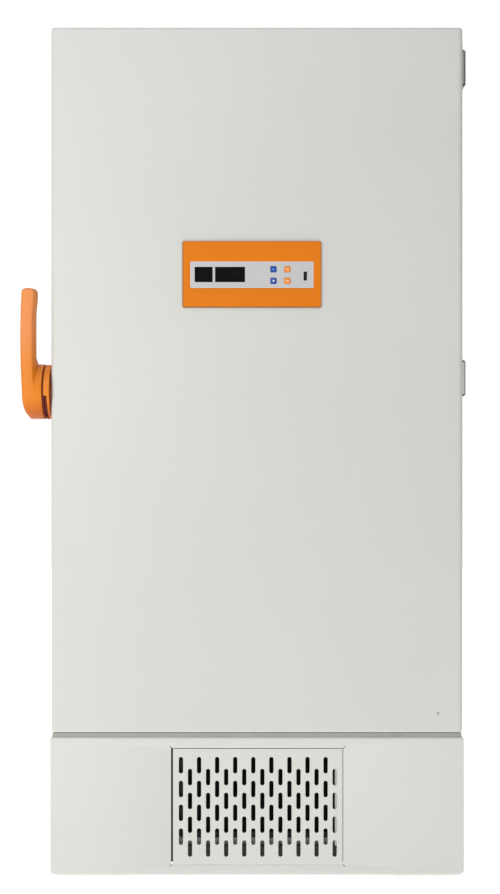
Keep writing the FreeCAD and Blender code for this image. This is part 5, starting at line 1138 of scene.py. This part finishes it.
class FREEZER_OT_handle(bpy.types.Operator):
    """Lever with its drum, the door-side ring, and the handle's dark seals, which paint the shade
    in its groove, its notch and at the ring's foot
    """
    bl_idname = "freezer.handle"
    bl_label = "Handle"

    def execute(self, context):
        size = sizes()
        hi = span("handle_lever")[1]
        lock_lo = span("lock_cylinder")[0]
        left_end = lock_lo[0] + 2 * MM
        right_end = hi[0]
        lock_radius = 9 * MM
        hub_y, hub_z = lock_lo[1] + lock_radius, lock_lo[2] + lock_radius
        radius = hub_z - span("handle_base")[0][2]
        shell = Shell().loft(self.blade(size, left_end, hub_y, hub_z, radius, hi[2] - 1.2 * MM))
        shell.grid(self.drum(size, left_end, right_end, hub_y, hub_z, radius), ring_columns=True)
        as_piece("lever", shell, "orange_plastic", "handle", ("handle_lever",), smooth=38.0)
        eased("handle_base", 1.2 * MM)
        self.seal(right_end, hub_y, hub_z, radius)
        return {"FINISHED"}

    def seal(self, drum_end, hub_y, hub_z, radius):
        """Dark wiper in the groove, liner of the notch below the hub's middle, and the gasket
        at the ring's foot: dark pieces that paint the shade in the groove, the notch and the gap at
        the ring's foot.

        Wiper and gasket: closed sections turned fully round the hub. Liner: a closed L
        section turned round it from 191 to 261 degrees.
        """
        ring_left = drum_end + 0.5 * MM
        groove = sizes().seam_width
        lip = [(radius - 9 * MM, drum_end - groove + 0.3 * MM),
               (radius - 2.6 * MM, drum_end - groove + 0.5 * MM),
               (radius - 1.8 * MM, drum_end - groove + 1.6 * MM),
               (radius - 2.6 * MM, ring_left - 0.25 * MM),
               (radius - 9 * MM, ring_left - 0.2 * MM)]
        # Painted shade: a dark wiper fills the groove, where the shade falls.
        groove_shade_piece = Shell().grid(revolved(lip, (0, hub_y, hub_z), 0, 72), True, True)
        as_piece("handle_groove_shade_wiper", groove_shade_piece, "dark_seal", "handle")
        # Painted shade: a dark liner lines the notch below the hub.
        floor, wall = radius - 8 * MM, ring_left + 7.5 * MM
        low, high = floor + 0.05 * MM, wall - 0.05 * MM
        lift, rim = floor + 0.9 * MM, radius - 1.3 * MM
        section = np.array([(low, ring_left + 0.2 * MM), (lift, ring_left + 0.2 * MM),
                            (lift, wall - 0.9 * MM), (rim, wall - 0.9 * MM), (rim, high),
                            (low, high)])
        out, along = section.T
        angle = np.radians(np.linspace(191, 261, 30))[:, None]
        rings = np.stack(np.broadcast_arrays(along, hub_y + out * np.cos(angle),
                                             hub_z + out * np.sin(angle)), -1)
        as_piece("handle_notch_shade_liner", Shell().loft(rings), "dark_seal", "door")
        # Painted shade: a dark gasket at the ring's foot, for the shadow gap at the door's side.
        foot = span("handle_base")[1][0]
        band = [(radius - 3 * MM, foot - 2.2 * MM), (radius + 0.35 * MM, foot - 2.2 * MM),
                (radius + 0.55 * MM, foot - 1.4 * MM), (radius + 0.55 * MM, foot - 0.6 * MM),
                (radius + 0.1 * MM, foot - 0.1 * MM), (radius - 3 * MM, foot - 0.1 * MM)]
        gasket = Shell().grid(revolved(band, (0, hub_y, hub_z), 0, 72), True, True)
        as_piece("handle_foot_shade_gasket", gasket, "dark_seal", "door")

    def blade(self, size, left_end, hub_y, hub_z, radius, top):
        """Rings of the lever from the hub up to its rounded top.

        The left side bows out at half the height, the right side swells under the top, and
        the facet starts at a point where the lever meets the drum. Below the hub the front
        follows the drum: y = hub - root(radius^2 - up^2), and the left side an ellipse.
        """
        cap = size.lever_top_round
        bow_middle, bow_reach = 122 * MM, 137 * MM
        swell_middle, swell_spread, swell_width = 218 * MM, 26 * MM, 3.6 * MM
        z = np.concatenate([np.linspace(hub_z - radius + 4.5 * MM, hub_z - 4 * MM, 24),
                            np.linspace(hub_z - 2 * MM, hub_z + 24 * MM, 20),
                            np.linspace(hub_z + 27 * MM, hub_z + 90 * MM, 22),
                            np.linspace(hub_z + 96 * MM, top - cap, 20),
                            top - cap + cap * np.sin(np.linspace(0.1, np.pi / 2, 10))])
        up = z - hub_z
        end = np.clip((z - (top - cap)) / cap, 0, 1)
        shrink = cap * (1 - np.sqrt(np.clip(1 - end ** 2, 0, 1) + 1e-9))
        bow = ((np.clip(up, 0, None) - bow_middle) / bow_reach) ** 2
        deep = size.drum_round[1]
        fall = np.clip((-14 * MM - up) / (radius - 18 * MM), 0, 1)
        foot = deep * (1 - np.sqrt(1 - fall ** 2))
        left = left_end + size.lever_bow * np.clip(bow, 0, 1.4) + shrink + foot
        swell = swell_width * np.exp(-((up - swell_middle) / swell_spread) ** 2)
        width = size.lever_width + swell + 1.0 * MM * (1 - ease(up / (90 * MM)))
        right = left_end + width - shrink
        floor = radius - np.sqrt(np.clip(radius ** 2 - np.clip(up, 0, radius) ** 2, 0, None))
        under = radius - np.sqrt(np.clip(radius ** 2 - np.clip(up, -radius, 0) ** 2, 0, None))
        facet_depth = np.clip(np.minimum(size.facet_depth, floor + 0.4 * MM), 0.5 * MM, None)
        facet_width = size.facet_width * (0.06 + 0.94 * ease(up / (20 * MM)))
        front = hub_y - radius + 0.6 * shrink + under + 0.3 * MM * (up < 0)
        root = (radius - size.lever_thick) * (1 - ease((up - radius + 6 * MM) / (22 * MM)))
        back = hub_y - radius + size.lever_thick + root - 0.6 * shrink
        flat = lever_sections(left, right, front, back, facet_width, facet_depth)
        return np.concatenate([flat, np.broadcast_to(z[:, None, None], flat.shape[:2] + (1,))], 2)

    def drum(self, size, left_end, right_end, hub_y, hub_z, radius):
        """The drum: a boss round the lock, a left end rounded as an ellipse of the angle a,
        (radius, x) = (radius - tall * (1 - sin a), left + wide * (1 - cos a)), a groove
        beside the ring, and the axle's bore."""
        boss = left_end + 1.6 * MM
        left_end = left_end + size.lever_bow * 0.79
        turn = np.linspace(0, np.pi / 2, 16)
        tall, wide = size.drum_round
        groove, deep = size.seam_width, size.seam_depth
        profile = [(0, boss + 2 * MM), (9.3 * MM, boss + 2 * MM), (9.3 * MM, boss),
                   (radius - tall - 2.4 * MM, boss), (radius - tall - 1.4 * MM, boss + 0.6 * MM)]
        profile += [(radius - tall * (1 - math.sin(a)), left_end + wide * (1 - math.cos(a)))
                    for a in turn]
        profile += [(radius, right_end - groove - 1.2 * MM),
                    (radius - 0.35 * MM, right_end - groove - 0.35 * MM),
                    (radius - 1.2 * MM, right_end - groove), (radius - deep, right_end - groove),
                    (radius - deep, right_end), (10.2 * MM, right_end),
                    (10.2 * MM, left_end + 26 * MM), (0, left_end + 26 * MM)]
        return revolved(profile, (0, hub_y, hub_z), 0, 96)


# Running gear and machine compartment

class FREEZER_OT_wheels(bpy.types.Operator):
    """Caster wheels: a soft tread on a ribbed hub"""
    bl_idname = "freezer.wheels"
    bl_label = "Caster wheels"

    def execute(self, context):
        for node in ("caster_wheel_front_left", "caster_wheel_front_right",
                     "caster_wheel_rear_left", "caster_wheel_rear_right"):
            lo, hi = span(node)
            centre = (lo + hi) / 2
            half, radius = (hi[0] - lo[0]) / 2, (hi[2] - lo[2]) / 2
            drawn_radius = 25.0
            side = np.array([(4.2, 0.98), (7.0, 0.98), (7.4, 0.70), (15.5, 0.66), (16.0, 0.92),
                             (19.5, 0.98), (22.5, 0.90), (24.4, 0.55), (25.0, 0.20)])
            both = np.vstack([side * (1, -1), side[::-1]])
            profile = both * (radius / drawn_radius, half)
            shell = Shell().grid(revolved(profile, centre, 0, 56), True, True)
            as_piece(node + "_tread", shell, "wheel", body_of(node), (node,))
        return {"FINISHED"}


class FREEZER_OT_fan(bpy.types.Operator):
    """Condenser fan: a capped hub and twisted, cambered blades"""
    bl_idname = "freezer.fan"
    bl_label = "Fan"

    def execute(self, context):
        lo, hi = span("fan_blade")
        centre = (lo + hi) / 2
        reach, half = (hi[2] - lo[2]) / 2, (hi[1] - lo[1]) / 2
        hub = 28 * MM
        shell = Shell()
        cup = revolved([(0, -half), (hub - 6 * MM, -half), (hub - 2 * MM, -half + 2 * MM),
                        (hub, -half + 6 * MM), (hub, half - 1 * MM), (hub - 2 * MM, half - 1 * MM),
                        (hub - 2 * MM, -half + 6 * MM), (8 * MM, -half + 4 * MM), (8 * MM, half),
                        (4.2 * MM, half), (4.2 * MM, -half + 3 * MM), (0, -half + 3 * MM)],
                       centre, 1, 48)
        shell.grid(cup, ring_columns=True)
        count = sizes().fan_blades
        for index in range(count):
            shell.loft(self.blade(centre, hub, reach, half, 2 * np.pi * index / count))
        as_piece("fan_wheel", shell, "black_plastic", "fan", ("fan_blade",), smooth=45.0)
        return {"FINISHED"}

    def blade(self, centre, hub, reach, half, start):
        """Rings of a blade from the hub out to its tip.

        At a share s of the span and an angle c round the section: along = cos c * chord / 2,
        across = camber + 0.9 mm * sin c, both turned by the pitch of 40 - 18 s degrees. The
        point stands at centre + radius * (sin a, cos a) in (x, z), with a = start + sweep / radius.
        """
        share = np.linspace(0, 1, 12)[:, None]
        turn = np.linspace(0, 2 * np.pi, 20, endpoint=False)[None, :]
        inner, tip = hub * 0.93, reach * 0.985
        radius = inner + (tip - inner) * share
        pitch = np.radians(40 - 18 * share)
        chord = (22 + 20 * share) * MM
        along = 0.5 * np.cos(turn) * chord
        camber = 0.10 * chord * (1 - (2 * along / chord) ** 2)
        across = camber + 0.9 * MM * np.sin(turn)
        sweep = along * np.cos(pitch) - across * np.sin(pitch) + 10 * MM * share ** 2
        lift = along * np.sin(pitch) + across * np.cos(pitch)
        lift *= min(1.0, (half - 0.3 * MM) / np.abs(lift).max())
        angle = sweep / radius + start
        return np.stack(np.broadcast_arrays(
            centre[0] + radius * np.sin(angle), centre[1] + lift,
            centre[2] + radius * np.cos(angle)), -1)


class FREEZER_OT_condenser_fins(bpy.types.Operator):
    """Folded fins between the condenser's flat tubes"""
    bl_idname = "freezer.condenser_fins"
    bl_label = "Condenser fins"

    def execute(self, context):
        lo, hi = span("condenser_coil")
        header, tubes, tube_height = 24 * MM, 15, 3 * MM
        first, last = lo[2] + 34 * MM, hi[2] - 12 * MM
        step = (last - first) / (tubes - 1)
        folds = 150
        # Each fin touches the tube below it and the one above it in turn along x.
        x = np.linspace(lo[0] + header, hi[0] - header, folds)
        up = np.where(np.arange(folds) % 2 == 0, 0.0, 1.0)
        y = np.array([lo[1] + 3.6 * MM, hi[1] - 3.6 * MM])
        shell = Shell()
        for index in range(tubes - 1):
            z = first + index * step + tube_height + up * (step - tube_height)
            shell.grid(np.stack(np.broadcast_arrays(x[None], y[:, None], z[None]), -1))
        fins = as_piece("condenser_fins", shell, "aluminium", "cabinet", closed=False,
                        smooth=20.0)
        thickened(fins, 0.15 * MM)
        return {"FINISHED"}


class FREEZER_OT_fasteners(bpy.types.Operator):
    """Screw heads along the rear service cover and down the back edge of both side panels"""
    bl_idname = "freezer.fasteners"
    bl_label = "Fasteners"

    def execute(self, context):
        head = np.array([(0, 0.9), (1.1, 0.9), (1.5, 1.5), (1.6, 2.0), (2.6, 1.8), (3.4, 1.2),
                         (3.8, 0.4), (3.8, 0.0)]) * MM
        inset = 12 * MM
        lo, hi = span("rear_service_cover")
        xs = np.linspace(lo[0] + inset, hi[0] - inset, 5)
        places = [(x, hi[1], z) for x in xs for z in (lo[2] + inset, hi[2] - 9 * MM)]
        lo, hi = span("rear_panel")
        zs = np.linspace(lo[2] + 70 * MM, hi[2] - 20 * MM, 7)
        left, back = span("left_side_panel")[0][0], span("left_side_panel")[1][1]
        right = span("right_side_panel")[1][0]
        places += [(x, back, z) for x in (left + inset, right - inset) for z in zs]
        shell = Shell()
        screw = revolved(head, (0, 0, 0), 1, 18)
        shell.copies(screw, grid_faces(*screw.shape[:2], ring_columns=True), places)
        as_piece("rear_screws", shell, "bright_steel", "cabinet", closed=False, smooth=50.0)
        return {"FINISHED"}


class FREEZER_OT_carried_over(bpy.types.Operator):
    """Finishes of the nodes whose own shape stays"""
    bl_idname = "freezer.carried_over"
    bl_label = "Carried-over pieces"

    def execute(self, context):
        for node in frame["nodes"].values():
            if node.hide_render:
                continue
            slot = slot_of(node)
            node.data.materials.clear()
            node.data.materials.append(finish(slot))
        return {"FINISHED"}


class FREEZER_OT_stage(bpy.types.Operator):
    """Pale floor, soft studio light and the camera"""
    bl_idname = "freezer.stage"
    bl_label = "Stage"

    def execute(self, context):
        scene = context.scene
        stage = scene.freezer_stage
        scene.view_settings.view_transform = "Standard"
        scene.world = self.surround(stage)
        radii = np.array([7.0, 4.0, 2.0, 1.0])
        angle = np.linspace(0, 2 * np.pi, 64, endpoint=False)
        ring = np.stack([np.cos(angle), np.sin(angle), angle * 0], -1)
        shell = Shell().loft(ring[None] * radii[:, None, None])
        mesh = bpy.data.meshes.new("floor")
        mesh.from_pydata(np.concatenate(shell.points), [], shell.faces[:-2] + [shell.faces[-1]])
        floor = bpy.data.objects.new("floor", mesh)
        scene.collection.objects.link(floor)
        paint = Finish("studio_floor", Roughness=0.8, Specular_IOR_Level=0.2)
        cloud = paint.noise(0.8, 2.0)
        paint.colour(paint.mix(cloud, shade(stage.floor, 0.985), shade(stage.floor, 1.0)))
        paint.bump(paint.noise(60.0, 2.0), 0.02, 0.001)
        paint.shader.inputs["Emission Color"].default_value = (1.0, 1.0, 1.0, 1.0)
        paint.shader.inputs["Emission Strength"].default_value = stage.floor_glow
        mesh.materials.append(paint.material)
        self.light("side", (-1.15, -2.3, 1.45), (-0.1, -0.45, 1.1), 0.7, 2.2, stage.side_light)
        self.light("soft", (-0.5, -3.0, 3.1), (0.0, -0.4, 1.2), 1.4, 1.4, stage.soft_light)
        camera = bpy.data.cameras.new("camera")
        camera.lens = stage.lens
        camera.sensor_width = 36.0
        view = bpy.data.objects.new("camera", camera)
        view.location = stage.camera_place
        view.rotation_euler = (math.pi / 2, 0, 0)
        scene.collection.objects.link(view)
        scene.camera = view
        return {"FINISHED"}

    def surround(self, stage):
        """Before the object, front * (1 - dark * x * x) - fall * x; behind it back is added,
        and overhead top is added. Reflections lose most of the light behind, and the camera
        sees an even white."""
        lost_in_gloss, white = 0.65, 1.05
        world = bpy.data.worlds.new("studio")
        world.use_nodes = True
        sky = Nodes(world.node_tree, "Generated")
        x, y, z = (sky.axis(name) for name in "XYZ")
        behind = sky.smooth(y, 0.15, 0.75)
        above = sky.smooth(z, 0.30, 1.0)
        before = stage.front_light * (1 - stage.side_dark * x * x) - stage.side_fall * x
        power = before * (1 - behind) + (stage.front_light + stage.back_light) * behind
        power = power + stage.top_light * above
        glossy = sky.add("LightPath", {}, {}, "Is Glossy Ray")
        seen = sky.add("LightPath", {}, {}, "Is Camera Ray")
        power = power * (1 - lost_in_gloss * glossy * behind)
        background = sky.tree.nodes["Background"]
        background.inputs["Color"].default_value = (1.0, 1.0, 1.0, 1.0)
        sky.feed(background.inputs["Strength"], power * (1 - seen) + white * seen)
        return world

    def light(self, name, place, aim, width, height, power):
        """Rectangular light that the camera doesn't see."""
        lamp = bpy.data.lights.new(name, "AREA")
        lamp.shape = "RECTANGLE"
        lamp.size, lamp.size_y = width, height
        lamp.energy = power
        holder = bpy.data.objects.new(name, lamp)
        holder.location = place
        holder.rotation_euler = (Vector(aim) - Vector(place)).to_track_quat("-Z", "Y").to_euler()
        holder.visible_camera = False
        bpy.context.scene.collection.objects.link(holder)


class FREEZER_PT_panel(bpy.types.Panel):
    """Buttons for each piece of the freezer"""
    bl_idname = "FREEZER_PT_panel"
    bl_label = "Laboratory freezer"
    bl_space_type = "VIEW_3D"
    bl_region_type = "UI"
    bl_category = "Freezer"

    def draw(self, context):
        layout = self.layout
        for operator in OPERATORS:
            layout.operator(operator.bl_idname)
        for group in (context.scene.freezer_sizes, context.scene.freezer_colours,
                      context.scene.freezer_stage):
            box = layout.box()
            for name in group.__annotations__:
                box.prop(group, name)


GROUPS = (FreezerSizes, FreezerColours, FreezerStage)
OPERATORS = (FREEZER_OT_outer_door, FREEZER_OT_lower_panel, FREEZER_OT_sill_strip,
             FREEZER_OT_grille, FREEZER_OT_control_panel, FREEZER_OT_handle,
             FREEZER_OT_sheet_metal, FREEZER_OT_inner_doors, FREEZER_OT_door_gasket,
             FREEZER_OT_wheels, FREEZER_OT_fan, FREEZER_OT_condenser_fins,
             FREEZER_OT_fasteners, FREEZER_OT_carried_over, FREEZER_OT_stage)


def register():
    """Adds the settings, the operators and the panel."""
    for item in (*GROUPS, *OPERATORS, FREEZER_PT_panel):
        bpy.utils.register_class(item)
    bpy.types.Scene.freezer_sizes = PointerProperty(type=FreezerSizes)
    bpy.types.Scene.freezer_colours = PointerProperty(type=FreezerColours)
    bpy.types.Scene.freezer_stage = PointerProperty(type=FreezerStage)


def unregister():
    """Takes them away again."""
    del bpy.types.Scene.freezer_stage
    del bpy.types.Scene.freezer_colours
    del bpy.types.Scene.freezer_sizes
    for item in reversed((*GROUPS, *OPERATORS, FREEZER_PT_panel)):
        bpy.utils.unregister_class(item)


def main():
    """Registers the add-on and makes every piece."""
    register()
    for name in ("Cube", "Light", "Camera"):
        spare = bpy.data.objects.get(name)
        if spare:
            bpy.data.objects.remove(spare)
    for operator in OPERATORS:
        group, name = operator.bl_idname.split(".")
        getattr(getattr(bpy.ops, group), name)()


if __name__ == "__main__":
    main()
